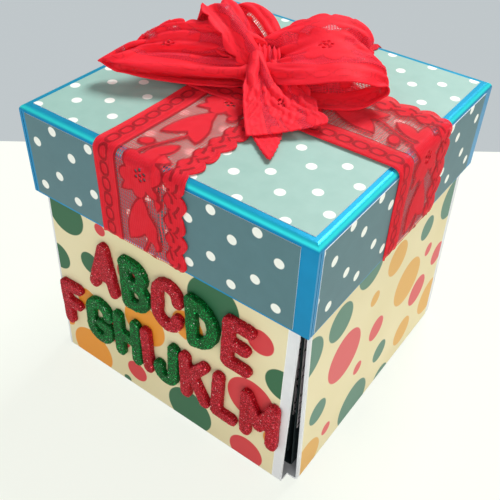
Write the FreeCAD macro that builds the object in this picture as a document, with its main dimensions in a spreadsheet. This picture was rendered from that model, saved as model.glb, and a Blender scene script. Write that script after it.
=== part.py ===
import FreeCAD, Part
import math
import os
from functools import partial

import Sketcher
from FreeCAD import Placement, Rotation, Vector

# Explosion box card: a cross of card folded up into a box, two smaller nested crosses inside it,
# papers glued on every panel, foam letters on the front wall, and a lift-off lid tied with lace.
# Frame: millimetres, +Z up, origin under the middle of the floor, letters' wall facing -Y.

SIZES = {
    # outer box
    "box_panel": (101.6, "width of a wall flap (4 in.)"),
    "box_rise": (105.9, "height of the wall tops above the table"),
    "box_card": (0.8, "thickness of the white card"),
    "box_foot_spread": (4.2, "a wall's outer face beyond the flap's half width, at the table"),
    "fold_radius": (1.6, "outer radius of a folded bottom edge"),
    "flap_gap": (0.35, "gap between neighbouring flaps at their tops"),
    # glued papers
    "paper": (0.2, "thickness of a glued paper"),
    "wall_paper_left": (1.1, "bare card left of an outer wall paper"),
    "wall_paper_right": (3.5, "bare card right of an outer wall paper"),
    "wall_paper_foot": (1.7, "bare card under an outer wall paper"),
    "wall_paper_top": (2.0, "bare card above an outer wall paper"),
    "mat_margin": (3.0, "bare card round an inner mat"),
    # nested layers
    "second_step": (6.4, "how much narrower a flap of the second layer is than the box's"),
    "second_drop": (5.3, "how far the second layer's flap tops lie under the box's"),
    "second_foot_spread": (3.1, "spread of the second layer's flaps at their foot"),
    "third_step": (6.3, "how much narrower a flap of the third layer is than the second's"),
    "third_drop": (5.3, "how far the third layer's flap tops lie under the second's"),
    "third_foot_spread": (2.4, "spread of the third layer's flaps at their foot"),
    "layer_card": (0.5, "thickness of the black layer card"),
    "mat_foot": (21.0, "bare black card under the outer mats of an inner layer"),
    "mat_edge": (0.8, "bare black card beside the outer mats of an inner layer"),
    # lid
    "lid_card": (0.5, "thickness of the blue lid card"),
    "lid_depth": (32.4, "outside depth of the lid"),
    "lid_seat": (0.3, "gap between the wall tops and the lid"),
    "lid_clearance": (0.5, "gap between the lid's glued tabs and the wall papers at the rim"),
    "lid_fold_radius": (2.0, "outer radius of the lid's top folds"),
    "lid_tab": (14.0, "length of the glued tab behind each corner"),
    "lid_seam": (0.3, "width of the cut line where a side laps over its tab"),
    "lid_paper_margin": (3.3, "bare card round the top paper"),
    "side_paper_near": (2.5, "bare card at the left end of a lid side paper"),
    "side_paper_far": (5.2, "bare card at the right end of a lid side paper"),
    "side_paper_rim": (0.8, "bare card under a lid side paper"),
    # lace ribbon
    "lace_width": (35.0, "width of the lace ribbon"),
    "lace": (0.45, "thickness of the lace"),
    "front_lace_shift": (-4.5, "middle of the front to back band, along X"),
    "side_lace_shift": (3.9, "middle of the left to right band, along Y"),
    "scallop_pitch": (7.0, "spacing of the scallops"),
    "scallop_radius": (4.2, "radius of a scallop"),
    "border_pitch": (5.5, "spacing of the lozenges in the straight border"),
    "border_inset": (4.3, "straight edge to the middle of the lozenges"),
    "lozenge": (3.6, "long diagonal of a border lozenge"),
    "leaf_pitch": (15.0, "spacing of the leaf openings"),
    "leaf": (8.0, "length of a leaf opening"),
    # foam letters
    "foam": (2.2, "thickness of the foam"),
    "letter_height": (21.7, "height of a letter"),
    "letter_stroke": (4.4, "width of a letter's stroke"),
    "letter_gap": (0.35, "gap between neighbouring letters"),
    "upper_row": (55.6, "middle of the upper row, up the wall"),
    "lower_row": (27.9, "middle of the lower row, up the wall"),
    "upper_start": (19.2, "left end of the upper row from the flap's edge"),
    "lower_start": (2.2, "left end of the lower row from the flap's edge"),
    # bow
    "bow_cloth": (0.7, "thickness of the gathered lace"),
    "knot_radius": (5.5, "radius of the knot"),
    "knot_width": (11.0, "width of the wrap that ties the knot"),
    "bow_seat": (0.3, "gap between the bow and the band under it"),
    "bow_root": (6.0, "width of the ribbon where the knot gathers it"),
    "left_reach": (51.0, "reach of the long left loop"),
    "left_height": (4.5, "height of the long left loop"),
    "left_width": (20.0, "width of the long left loop"),
    "left_end": (17.0, "width of the long left loop at its fold"),
    "upper_reach": (29.0, "reach of the upright loop"),
    "upper_height": (8.0, "thickness of the upright loop"),
    "upper_width": (26.0, "width of the upright loop"),
    "upper_end": (13.0, "width of the upright loop at its fold"),
    "right_reach": (40.0, "reach of the round right loop"),
    "right_height": (10.0, "height of the round right loop"),
    "right_width": (31.0, "width of the round right loop"),
    "right_end": (15.0, "width of the round right loop at its fold"),
    "long_reach": (46.0, "reach of the long loose end"),
    "long_drop": (1.6, "fall of the long loose end"),
    "long_width": (12.0, "width of the long loose end"),
    "long_end": (1.5, "width of the long loose end at its tip"),
    "fan_reach": (33.0, "reach of the fanned loose end"),
    "fan_drop": (5.0, "fall of the fanned loose end"),
    "fan_width": (19.0, "width of the fanned loose end half-way"),
    "fan_end": (24.0, "width of the fanned loose end at its cut"),
    "fan_lift": (3.0, "height over the knot's middle at which the fanned end leaves it"),
    "long_lift": (-3.0, "height over the knot's middle at which the long end leaves it"),
}

SIDES = {"front": 0, "right": 90, "back": 180, "left": 270}
LETTER_TILT = (-3, 2, -2, 3, -2, 2, -2, 1, 3, -1, 2, -2, 1)
LETTERS = "ABCDEFGHIJKLM"
ARC_CHORD = 22.5
UPPER_COUNT = 5
BOUND = "sizes."


def make_sheet(doc):
    sheet = doc.addObject("Spreadsheet::Sheet", "sizes")
    for row, (alias, (value, note)) in enumerate(SIZES.items(), start=1):
        sheet.set("A%d" % row, note)
        sheet.set("B%d" % row, str(value))
        sheet.setAlias("B%d" % row, alias)
    doc.recompute()
    return sheet


doc = FreeCAD.newDocument("explosion_box_card")
sheet = make_sheet(doc)
PIECES = []


def size(expression):
    """The value of an expression in the sheet's aliases."""
    value = sheet.evalExpression(expression)
    return float(getattr(value, "Value", value))


def bind(target, prop, expression):
    """Ties a property to the sheet; every alias in the expression is looked up there."""
    words = []
    word = ""
    for char in expression + " ":
        if char.isalnum() or char == "_":
            word += char
            continue
        words.append(BOUND + word if word in SIZES else word)
        words.append(char)
        word = ""
    target.setExpression(prop, "".join(words).strip())


def origin_plane(body, role):
    return next(item for item in body.Origin.OriginFeatures if item.Role == role)


def new_body(label):
    body = doc.addObject("PartDesign::Body", label)
    body.Label = label
    PIECES.append(body)
    return body


def new_sketch(body, name, role):
    sketch = body.newObject("Sketcher::SketchObject", body.Name + "_" + name)
    sketch.AttachmentSupport = [(origin_plane(body, role), "")]
    sketch.MapMode = "FlatFace"
    return sketch


def pin(sketch, index, end, across, up):
    """Holds one end of a line or arc at two bound distances from the sketch's origin."""
    for kind, expression in (("DistanceX", across), ("DistanceY", up)):
        number = sketch.addConstraint(Sketcher.Constraint(kind, -1, 1, index, end, size(expression)))
        bind(sketch, "Constraints[%d]" % number, expression)


def polygon(sketch, corners):
    """A closed outline whose corners are pairs of expressions."""
    points = [Vector(size(across), size(up), 0) for across, up in corners]
    first = sketch.GeometryCount
    for start, end in zip(points, points[1:] + points[:1]):
        sketch.addGeometry(Part.LineSegment(start, end), False)
    count = len(points)
    for offset in range(count):
        following = first + (offset + 1) % count
        sketch.addConstraint(Sketcher.Constraint("Coincident", first + offset, 2, following, 1))
    for offset, (across, up) in enumerate(corners):
        pin(sketch, first + offset, 1, across, up)


def pad(body, name, sketch, length, symmetric=True):
    feature = body.newObject("PartDesign::Pad", body.Name + "_" + name)
    feature.Profile = sketch
    feature.Midplane = symmetric
    bind(feature, "Length", length)
    doc.recompute()
    return feature


def pocket_all(body, name, sketch, symmetric=False, reverse=True):
    feature = body.newObject("PartDesign::Pocket", body.Name + "_" + name)
    feature.Profile = sketch
    feature.Type = "ThroughAll"
    feature.Midplane = symmetric
    feature.Reversed = reverse
    doc.recompute()
    return feature


def pattern(body, feature, axis_role, pitch, count):
    """A row of copies of a feature along one of the body's axes."""
    row = body.newObject("PartDesign::LinearPattern", feature.Name + "_row")
    row.Originals = [feature]
    row.Direction = (origin_plane(body, axis_role), [""])
    row.Occurrences = count
    bind(row, "Length", "%s * %d" % (pitch, count - 1))
    body.Tip = row
    doc.recompute()
    return row


def fillet_edges(body, name, chosen, radius):
    """Rounds the edges of the body's tip that a test picks out."""
    base = body.Tip
    names = ["Edge%d" % (i + 1) for i, edge in enumerate(base.Shape.Edges) if chosen(edge)]
    feature = body.newObject("PartDesign::Fillet", body.Name + "_" + name)
    feature.Base = (base, names)
    bind(feature, "Radius", radius)
    doc.recompute()
    return feature


# ---------------------------------------------------------------- folded card crosses

class Layer:
    """One folded cross of card: where its floor lies and how far its flaps spread and rise."""

    def __init__(self, label, panel, rise, spread, card, floor):
        self.label = label
        self.panel = panel
        self.rise = rise
        self.spread = spread
        self.card = card
        self.floor = floor

    def foot(self):
        return "(%s / 2 + %s)" % (self.panel, self.spread)

    def top(self):
        return "(%s / 2 + %s + flap_gap)" % (self.panel, self.card)

    def lean(self):
        run = size("%s - %s" % (self.foot(), self.top()))
        return math.degrees(math.atan2(run, size("%s - (%s)" % (self.rise, self.floor))))

    def slope(self):
        """Height of a flap, measured along its leaning face."""
        return "sqrt((%s - %s) ^ 2 + (%s - (%s)) ^ 2)" % (self.foot(), self.top(), self.rise, self.floor)

    def wall_frame(self, side):
        """Local axes of a wall's outer face: X along it, Z up its slope, -Y outwards."""
        foot = Placement(Vector(0, -size(self.foot()), size(self.floor)), Rotation(Vector(1, 0, 0), -self.lean()))
        return Placement(Vector(), Rotation(Vector(0, 0, 1), SIDES[side])).multiply(foot)


SECOND_PANEL = "(box_panel - second_step)"
SECOND_RISE = "(box_rise - second_drop)"
THIRD_PANEL = "(%s - third_step)" % SECOND_PANEL
THIRD_RISE = "(%s - third_drop)" % SECOND_RISE
THIRD_FLOOR = "(box_card + layer_card)"

BOX = Layer("base_card", "box_panel", "box_rise", "box_foot_spread", "box_card", "0")
SECOND = Layer("second_layer_card", SECOND_PANEL, SECOND_RISE, "second_foot_spread", "layer_card", "box_card")
THIRD = Layer("third_layer_card", THIRD_PANEL, THIRD_RISE, "third_foot_spread", "layer_card", THIRD_FLOOR)


def make_layer(layer):
    """Floor and four leaning flaps, as two crossed channels with rounded folds."""
    body = new_body(layer.label)
    foot, top, card, floor, rise = layer.foot(), layer.top(), layer.card, layer.floor, layer.rise
    outer = [("-" + foot, floor), (foot, floor), (top, rise)]
    inner = [
        ("%s - %s" % (top, card), rise),
        ("%s - %s" % (foot, card), "%s + %s" % (floor, card)),
        ("%s - %s" % (card, foot), "%s + %s" % (floor, card)),
        ("%s - %s" % (card, top), rise),
    ]
    channel = outer + inner + [("-" + top, rise)]
    for name, role in (("front_back", "YZ_Plane"), ("left_right", "XZ_Plane")):
        sketch = new_sketch(body, name, role)
        polygon(sketch, channel)
        pad(body, name + "_channel", sketch, layer.panel)
    low = size(floor)
    high = size("%s + %s" % (floor, card))
    reach = size(foot)

    def is_fold(level, distance):
        def test(edge):
            box = edge.BoundBox
            flat = abs(box.ZMin - level) < 1e-4 and abs(box.ZMax - level) < 1e-4
            far = max(abs(box.Center.x), abs(box.Center.y))
            return flat and abs(far - distance) < 1e-3 and edge.Length > distance
        return test

    fillet_edges(body, "outer_folds", is_fold(low, reach), "fold_radius")
    fillet_edges(body, "inner_folds", is_fold(high, reach - size(card)), "fold_radius - " + card)
    return body


# ---------------------------------------------------------------- glued papers

def glued_paper(label, width, height, frame, left, foot, outward):
    """A paper on a wall, by its lower left corner and its outer face's distance off the wall."""
    box = doc.addObject("Part::Box", label)
    box.Label = label
    bind(box, "Length", width)
    bind(box, "Width", "paper")
    bind(box, "Height", height)
    box.Placement = frame.multiply(Placement(Vector(left, -outward, foot), Rotation()))
    PIECES.append(box)


def outer_wall_papers():
    """Cream paper on the outside of the box, glued a little off centre."""
    width = "box_panel - wall_paper_left - wall_paper_right"
    height = BOX.slope() + " - wall_paper_foot - wall_paper_top"
    left = size("wall_paper_left - box_panel / 2")
    foot = size("wall_paper_foot")
    for side in SIDES:
        glued_paper(side + "_wall_paper", width, height, BOX.wall_frame(side), left, foot, size("paper"))


def mats(layer, suffix, outside, edge, foot):
    """One mat on each flap of a layer, on its outer or its inner face."""
    outward = size("paper") if outside else -size(layer.card)
    width = "%s - 2 * %s" % (layer.panel, edge)
    height = "%s - %s - mat_margin" % (layer.slope(), foot)
    left = size("%s - %s / 2" % (edge, layer.panel))
    for side in SIDES:
        glued_paper(side + suffix, width, height, layer.wall_frame(side), left, size(foot), outward)


def floor_mat():
    """The centre panel, on the floor of the smallest layer."""
    box = doc.addObject("Part::Box", "floor_mat")
    box.Label = "floor_mat"
    bind(box, "Length", THIRD_PANEL + " - 2 * mat_margin")
    bind(box, "Width", THIRD_PANEL + " - 2 * mat_margin")
    bind(box, "Height", "paper")
    corner = size("mat_margin - %s / 2" % THIRD_PANEL)
    box.Placement = Placement(Vector(corner, corner, size("box_card + 2 * layer_card")), Rotation())
    PIECES.append(box)


# ---------------------------------------------------------------- lid

LID_TOP = "(box_rise + lid_seat + lid_card)"
LID_RIM = "(%s - lid_depth)" % LID_TOP
RIM_SPREAD = "(box_foot_spread + (box_card + flap_gap - box_foot_spread) * %s / box_rise)" % LID_RIM
LID_HALF = "(box_panel / 2 + %s + paper + lid_clearance + 2 * lid_card)" % RIM_SPREAD


def rectangle(sketch, left, right, near, far):
    polygon(sketch, [(left, near), (right, near), (right, far), (left, far)])


def rim_sketch(body, name, level):
    """A sketch parallel to the table, at a bound height."""
    sketch = new_sketch(body, name, "XY_Plane")
    bind(sketch, "AttachmentOffset.Base.z", level)
    return sketch


def around(body, feature):
    """Four copies of a feature, one for each corner."""
    copies = body.newObject("PartDesign::PolarPattern", feature.Name + "_corners")
    copies.Originals = [feature]
    copies.Axis = (origin_plane(body, "Z_Axis"), [""])
    copies.Angle = 360
    copies.Occurrences = len(SIDES)
    body.Tip = copies
    doc.recompute()


def make_lid():
    """One folded sheet: top, four sides, and a tab glued behind each corner."""
    body = new_body("lid_card")
    outline = rim_sketch(body, "outline", LID_RIM)
    rectangle(outline, "-" + LID_HALF, LID_HALF, "-" + LID_HALF, LID_HALF)
    pad(body, "block", outline, "lid_depth", symmetric=False)
    top = size(LID_TOP)
    fillet_edges(body, "top_folds", lambda edge: edge.BoundBox.ZMin > top - 1e-4, "lid_fold_radius")
    rim = size(LID_RIM)
    block = body.Tip
    open_face = [
        "Face%d" % (i + 1) for i, face in enumerate(block.Shape.Faces)
        if abs(face.BoundBox.ZMax - rim) < 1e-4
    ]
    hollow = body.newObject("PartDesign::Thickness", "lid_card_hollow")
    hollow.Base = (block, open_face)
    hollow.Reversed = True
    hollow.Join = 0
    bind(hollow, "Value", "lid_card")
    doc.recompute()
    inner = "(%s - lid_card)" % LID_HALF
    tab = rim_sketch(body, "tab", LID_RIM + " + side_paper_rim")
    rectangle(tab, inner + " - lid_card", inner, "-" + inner, "lid_tab - " + inner)
    tab_pad = pad(body, "tab_pad", tab, "lid_depth - side_paper_rim - lid_fold_radius - lid_card", False)
    around(body, tab_pad)
    seam = rim_sketch(body, "seam", LID_RIM)
    start = "2 * lid_card - " + LID_HALF
    rectangle(seam, LID_HALF + " - lid_card / 2", LID_HALF + " + lid_card", start, start + " + lid_seam")
    cut = body.newObject("PartDesign::Pocket", "lid_card_seam_cut")
    cut.Profile = seam
    cut.Reversed = True
    bind(cut, "Length", "lid_depth - lid_fold_radius")
    doc.recompute()
    around(body, cut)


def lid_papers():
    """Dotted papers: one on top and one on each side of the lid."""
    box = doc.addObject("Part::Box", "lid_top_paper")
    box.Label = "lid_top_paper"
    side = "2 * (%s - lid_paper_margin)" % LID_HALF
    bind(box, "Length", side)
    bind(box, "Width", side)
    bind(box, "Height", "paper")
    corner = size("lid_paper_margin - " + LID_HALF)
    box.Placement = Placement(Vector(corner, corner, size(LID_TOP)), Rotation())
    PIECES.append(box)
    width = "2 * %s - side_paper_near - side_paper_far" % LID_HALF
    height = "lid_depth - lid_fold_radius - side_paper_rim"
    left = size("side_paper_near - " + LID_HALF)
    for name, turn in SIDES.items():
        face = Placement(Vector(0, -size(LID_HALF), size(LID_RIM)), Rotation())
        frame = Placement(Vector(), Rotation(Vector(0, 0, 1), turn)).multiply(face)
        foot = size("side_paper_rim")
        glued_paper(name + "_lid_paper", width, height, frame, left, foot, size("paper"))


# ---------------------------------------------------------------- lace bands

def centred_row(length, pitch):
    """How many copies fit along a length, and the first one's distance from its middle."""
    count = max(1, int(size(length) / size(pitch)))
    return count, "-%s * %.1f" % (pitch, (count - 1) / 2)


def scallop_notch(sketch, along):
    """The cut between two scallops: two arcs that meet at a cusp, closed outside the edge."""
    radius = size("scallop_radius")
    middle = size(along)
    half_pitch = size("scallop_pitch / 2")
    centre = size("lace_width / 2 - scallop_radius")
    cusp = Vector(centre + math.sqrt(radius ** 2 - half_pitch ** 2), middle, 0)
    spread = math.asin(half_pitch / radius)
    shy = 0.2 * spread
    clear = radius
    ends = []
    for side in (-1, 1):
        origin = Vector(centre, middle + side * half_pitch, 0)
        rim = [origin + Vector(radius * math.cos(a), -side * radius * math.sin(a), 0)
               for a in (shy, (spread + shy) / 2)]
        sketch.addGeometry(Part.Arc(rim[0], rim[1], cusp), False)
        ends.append(rim[0])
    outside = [Vector(end.x + clear, end.y, 0) for end in ends]
    for start, end in ((ends[0], outside[0]), (outside[0], outside[1]), (outside[1], ends[1])):
        sketch.addGeometry(Part.LineSegment(start, end), False)
    sketch.addConstraint([Sketcher.Constraint("Block", index) for index in range(sketch.GeometryCount)])


def lozenge(sketch, along):
    """One opening of the straight border."""
    across = "(border_inset - lace_width / 2)"
    polygon(sketch, [
        (across, along + " - lozenge / 2"),
        (across + " + lozenge / 3", along),
        (across, along + " + lozenge / 2"),
        (across + " - lozenge / 3", along),
    ])


def fan(sketch, along):
    """The wedge-shaped opening inside a scallop."""
    near = "(lace_width / 2 - 1.9 * scallop_radius)"
    far = "(lace_width / 2 - 0.7 * scallop_radius)"
    polygon(sketch, [
        (near, along),
        (far, along + " - scallop_pitch * 0.25"),
        (far, along + " + scallop_pitch * 0.25"),
    ])


def leaves(sketch, along):
    """A pair of slanted leaf openings in the ribbon's field."""
    for side in (-1, 1):
        base = "(%s + leaf_pitch * %.2f)" % (along, 0.06 * side)
        tip = "(%s + leaf_pitch * %.2f)" % (along, 0.38 * side)
        middle = "(%s + leaf_pitch * %.2f)" % (along, 0.22 * side)
        polygon(sketch, [
            ("-leaf * 0.62", base),
            ("-leaf * 0.3", "%s + leaf_pitch * %.2f" % (middle, -0.13 * side)),
            ("leaf * 0.38", tip),
            ("-leaf * 0.02", "%s + leaf_pitch * %.2f" % (middle, 0.15 * side)),
        ])


def lace_band(label, lift, turn, shift):
    """A ribbon over the lid: straight border on one edge, scallops on the other."""
    body = new_body(label)
    inner = "(%s + paper)" % LID_HALF
    outer = "(%s + paper + lace)" % LID_HALF
    under = "(%s + paper + %s)" % (LID_TOP, lift)
    over = "(%s + lace)" % under
    profile = new_sketch(body, "profile", "YZ_Plane")
    polygon(profile, [
        ("-" + outer, LID_RIM), ("-" + outer, over), (outer, over), (outer, LID_RIM),
        (inner, LID_RIM), (inner, under), ("-" + inner, under), ("-" + inner, LID_RIM),
    ])
    pad(body, "ribbon", profile, "lace_width")
    for name, height, radius in (
        ("outer_bends", size(over), "lid_fold_radius + paper + lace"),
        ("inner_bends", size(under), "lid_fold_radius + paper"),
    ):
        def bend(edge, height=height):
            box = edge.BoundBox
            return abs(box.ZMin - height) < 1e-4 and box.ZLength < 1e-4 and box.XLength > 1
        fillet_edges(body, name, bend, radius)
    flat_top = "(2 * %s - 2 * lid_fold_radius - scallop_pitch)" % LID_HALF
    flat_side = "(lid_depth - lid_fold_radius - scallop_pitch / 2)"
    side_middle = "(%s + lid_depth / 2 - lid_fold_radius / 2)" % LID_RIM
    for name, draw, pitch in (
        ("notch", scallop_notch, "scallop_pitch"),
        ("fan", fan, "scallop_pitch"),
        ("border", lozenge, "border_pitch"),
        ("leaf", leaves, "leaf_pitch"),
    ):
        count, first = centred_row(flat_top, pitch)
        top_sketch = new_sketch(body, "top_" + name, "XY_Plane")
        draw(top_sketch, "(%s)" % first)
        cut = pocket_all(body, "top_" + name + "_cut", top_sketch)
        pattern(body, cut, "Y_Axis", pitch, count)
        count, first = centred_row(flat_side, pitch)
        side_sketch = new_sketch(body, "side_" + name, "XZ_Plane")
        draw(side_sketch, "(%s + %s)" % (side_middle, first))
        cut = pocket_all(body, "side_" + name + "_cut", side_sketch, symmetric=True, reverse=False)
        pattern(body, cut, "Z_Axis", pitch, count)
    body.Placement = Placement(Vector(), Rotation(Vector(0, 0, 1), turn))
    bind(body, "Placement.Base." + shift[0], shift[1])
    doc.recompute()
    return body


# ---------------------------------------------------------------- foam letters

# Each glyph: its width as a share of its height, then pen paths in a unit box.
# A path marked "round" has its corners rounded as far as they go.
GLYPHS = {
    "A": (0.62, ("sharp", (0, 0), (0.5, 1), (1, 0)), ("sharp", (0.22, 0.3), (0.78, 0.3))),
    "B": (0.58, ("sharp", (0, 0), (0, 1)), ("round", (0, 1), (0.92, 1), (0.92, 0.52), (0, 0.52)),
          ("round", (0, 0.52), (1, 0.52), (1, 0), (0, 0))),
    "C": (0.60, ("round", (1, 0.72), (1, 1), (0, 1), (0, 0), (1, 0), (1, 0.28))),
    "D": (0.60, ("sharp", (0, 0), (0, 1)), ("round", (0, 1), (1, 1), (1, 0), (0, 0))),
    "E": (0.54, ("sharp", (1, 1), (0, 1), (0, 0), (1, 0)), ("sharp", (0, 0.5), (0.85, 0.5))),
    "F": (0.52, ("sharp", (1, 1), (0, 1), (0, 0)), ("sharp", (0, 0.52), (0.8, 0.52))),
    "G": (0.60, ("round", (1, 0.74), (1, 1), (0, 1), (0, 0), (1, 0), (1, 0.4)),
          ("sharp", (1, 0.42), (0.55, 0.42))),
    "H": (0.58, ("sharp", (0, 0), (0, 1)), ("sharp", (1, 0), (1, 1)), ("sharp", (0, 0.5), (1, 0.5))),
    "I": (0.00, ("sharp", (0, 0), (0, 1))),
    "J": (0.50, ("round", (1, 1), (1, 0), (0, 0), (0, 0.3))),
    "K": (0.58, ("sharp", (0, 0), (0, 1)), ("sharp", (1, 1), (0, 0.42)), ("sharp", (0.35, 0.62), (1, 0))),
    "L": (0.50, ("sharp", (0, 1), (0, 0), (1, 0))),
    "M": (0.68, ("sharp", (0, 0), (0, 1), (0.5, 0.35), (1, 1), (1, 0))),
}


def rounded_wire(points, rounding):
    """A pen path; inner corners become arcs as large as the runs beside them allow."""
    edges = []
    start = points[0]
    last = len(points) - 1
    for index in range(1, last):
        corner = points[index]
        back = points[index - 1] - corner
        ahead = points[index + 1] - corner
        room = min(back.Length / (1 if index == 1 else 2), ahead.Length / (1 if index == last - 1 else 2))
        if not rounding:
            edges.append(Part.LineSegment(start, corner).toShape())
            start = corner
            continue
        room = min(room, abs(ahead.x + back.x) * 0.999)
        arc_start = corner + back.normalize() * room
        arc_end = corner + ahead.normalize() * room
        middle = corner + (back + ahead) * (room * (1 - math.sqrt(0.5)))
        if (arc_start - start).Length > 1e-3:
            edges.append(Part.LineSegment(start, arc_start).toShape())
        edges.append(Part.Arc(arc_start, middle, arc_end).toShape())
        start = arc_end
    if (points[last] - start).Length > 1e-3:
        edges.append(Part.LineSegment(start, points[last]).toShape())
    return Part.Wire(edges)


def faceted(outline):
    """The same outline with each arc cut into short chords, which keeps the letters light."""
    corners = []
    for edge in outline.OrderedEdges:
        points = [edge.valueAt(edge.FirstParameter), edge.valueAt(edge.LastParameter)]
        if edge.Curve.TypeId == "Part::GeomCircle":
            chords = max(1, math.ceil(math.degrees(edge.LastParameter - edge.FirstParameter) / ARC_CHORD - 0.01))
            points = edge.discretize(chords + 1)
        if edge.Orientation == "Reversed":
            points = points[::-1]
        corners.extend(points[:-1])
    return Part.makePolygon(corners + corners[:1])


def pill(start, end, radius):
    """A straight stroke with round ends."""
    along = (end - start).normalize() * radius
    side = Vector(-along.y, along.x, 0)
    return Part.Wire([
        Part.LineSegment(start - side, end - side).toShape(),
        Part.Arc(end - side, end + along, end + side).toShape(),
        Part.LineSegment(end + side, start + side).toShape(),
        Part.Arc(start + side, start - along, start - side).toShape(),
    ])


def letter_width(letter):
    return max(GLYPHS[letter][0] * size("letter_height"), size("letter_stroke"))


def letter_shape(letter):
    """A thick rounded letter, centred, lying in the XY plane."""
    stroke = size("letter_stroke")
    across = letter_width(letter) - stroke
    up = size("letter_height") - stroke
    solids = []
    for kind, *path in GLYPHS[letter][1:]:
        points = [Vector((x - 0.5) * across, (y - 0.5) * up, 0) for x, y in path]
        if len(points) == 2:
            outline = pill(points[0], points[1], stroke / 2)
        else:
            outline = rounded_wire(points, kind == "round").makeOffset2D(stroke / 2, 0, False, False)
        solids.append(Part.Face(faceted(outline)).extrude(Vector(0, 0, size("foam"))))
    if len(solids) == 1:
        return solids[0]
    return solids[0].multiFuse(solids[1:]).removeSplitter()


def tilt_room(first, second):
    """What two neighbours at different tilts need between them, so that their ends stay apart."""
    return size("letter_height / 2") * abs(math.sin(math.radians(first)) - math.sin(math.radians(second)))


def stick_letters():
    """Two rows on the front paper, each letter with the tilt it was stuck on at."""
    upright = Placement(Vector(), Rotation(Vector(1, 0, 0), 90))
    rows = (
        (LETTERS[:UPPER_COUNT], size("upper_start"), size("upper_row")),
        (LETTERS[UPPER_COUNT:], size("lower_start"), size("lower_row")),
    )
    tilts = dict(zip(LETTERS, LETTER_TILT))
    for row, start, height in rows:
        left = start - size("box_panel / 2")
        previous = row[0]
        for letter in row:
            width = letter_width(letter)
            left += tilt_room(tilts[previous], tilts[letter])
            previous = letter
            feature = doc.addObject("Part::Feature", "letter_" + letter)
            feature.Label = "letter_" + letter
            feature.Shape = letter_shape(letter)
            spot = Placement(Vector(left + width / 2, -size("paper"), height), Rotation())
            turned = Placement(Vector(), Rotation(Vector(0, 0, 1), tilts[letter]))
            feature.Placement = BOX.wall_frame("front").multiply(spot).multiply(upright).multiply(turned)
            PIECES.append(feature)
            left += width + size("letter_gap")


# ---------------------------------------------------------------- bow

# Azimuth, climb and roll of each part of the bow, degrees.
BOW_TURNS = {
    "left": (211, 3, -34),
    "upper": (153, 26, 10),
    "right": (27, 9, 28),
    "long": (307, 0, 0),
    "fan": (319, 0, 4),
}
KNOT_TURN = 35

# How each loop was pulled: the share of its height under its middle, and how far its fold slants.
LOOP_SAG = {"left": 0.25, "upper": 0.6, "right": 0.25}
LOOP_SLANT = {"left": 0.4, "upper": -0.3, "right": 0.0}

# Pleats across the ribbon, stations along it, and the pleats' depth at the knot and at the far end, mm.
PLEATS = 4
LOOP_STEPS = 9
END_STEPS = 5
PLEAT_AT_KNOT = 1.6
PLEAT_AT_END = 1.0


def flat_face(*corners):
    """A flat face with these corners."""
    return Part.Face(Part.makePolygon(corners + corners[:1]))


def flat_end(ring):
    """The face that closes a ring whose points lie in one plane."""
    return [flat_face(*ring)]


def pleated_end(ring):
    """The faces that close the end of a pleated strip, between its upper and its lower points."""
    faces = []
    for index in range(len(ring) // 2 - 1):
        upper, after = ring[index], ring[index + 1]
        lower, below_after = ring[-1 - index], ring[-2 - index]
        faces += [flat_face(upper, after, below_after), flat_face(upper, below_after, lower)]
    return faces


def skin(rings, end=flat_end):
    """A closed solid through rings of points, in flat triangles.

    The second half of a ring is cut on the other diagonal, so a strip's two faces stay parallel.
    """
    faces = end(rings[0]) + end(rings[-1])
    count = len(rings[0])
    for ring, following in zip(rings, rings[1:]):
        for index in range(count):
            after = (index + 1) % count
            a, b, c, d = ring[index], ring[after], following[after], following[index]
            halves = ((a, b, c), (a, c, d)) if index < count // 2 else ((a, b, d), (b, c, d))
            faces += [flat_face(*corners) for corners in halves]
    shell = Part.makeShell(faces)
    shell.sewShape()
    return Part.makeSolid(shell)


def pleated_strip(stations, pleats, thickness, rest):
    """A closed strip of cloth through stations of (point across it, across, normal, width, pleat depth)."""
    rings = []
    for place, across, normal, width, depth in stations:
        upper = []
        lower = []
        for index in range(pleats + 1):
            side = index / pleats - 0.5
            point = place(side) + across * (width * side) + normal * (depth * (0.5 if index % 2 else -0.5))
            point.z = max(point.z, rest + thickness / 2)
            upper.append(point + normal * (thickness / 2))
            lower.append(point - normal * (thickness / 2))
        rings.append(upper + lower[::-1])
    return skin(rings, pleated_end)


def heading(name):
    """Unit vectors of a part of the bow: outwards, across it, and square to both."""
    azimuth, climb, roll = (math.radians(angle) for angle in BOW_TURNS[name])
    out = Vector(math.cos(azimuth) * math.cos(climb), math.sin(azimuth) * math.cos(climb), math.sin(climb))
    level = Vector(-math.sin(azimuth), math.cos(azimuth), 0)
    lift = out.cross(level)
    return out, level * math.cos(roll) + lift * math.sin(roll), lift * math.cos(roll) - level * math.sin(roll)


def spread(name, away):
    """Width of the ribbon from the knot (0) to its far end (1): a smooth curve through three widths."""
    root, middle, end = size("bow_root"), size(f"{name}_width"), size(f"{name}_end")
    pull = 2 * middle - (root + end) / 2
    return (1 - away) ** 2 * root + 2 * away * (1 - away) * pull + away ** 2 * end


def ribbon(name, place, steps, outward, rest):
    """A length of gathered ribbon whose middle runs along place(share, side)."""
    across = heading(name)[1]
    stations = []
    for step in range(steps + 1):
        share = step / steps
        tangent = place(min(1, share + 0.01), 0) - place(max(0, share - 0.01), 0)
        normal = tangent.normalize().cross(across)
        away = outward(share)
        depth = PLEAT_AT_KNOT - (PLEAT_AT_KNOT - PLEAT_AT_END) * away
        stations.append((partial(place, share), across, normal, spread(name, away), depth))
    return pleated_strip(stations, PLEATS, size("bow_cloth"), rest)


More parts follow.
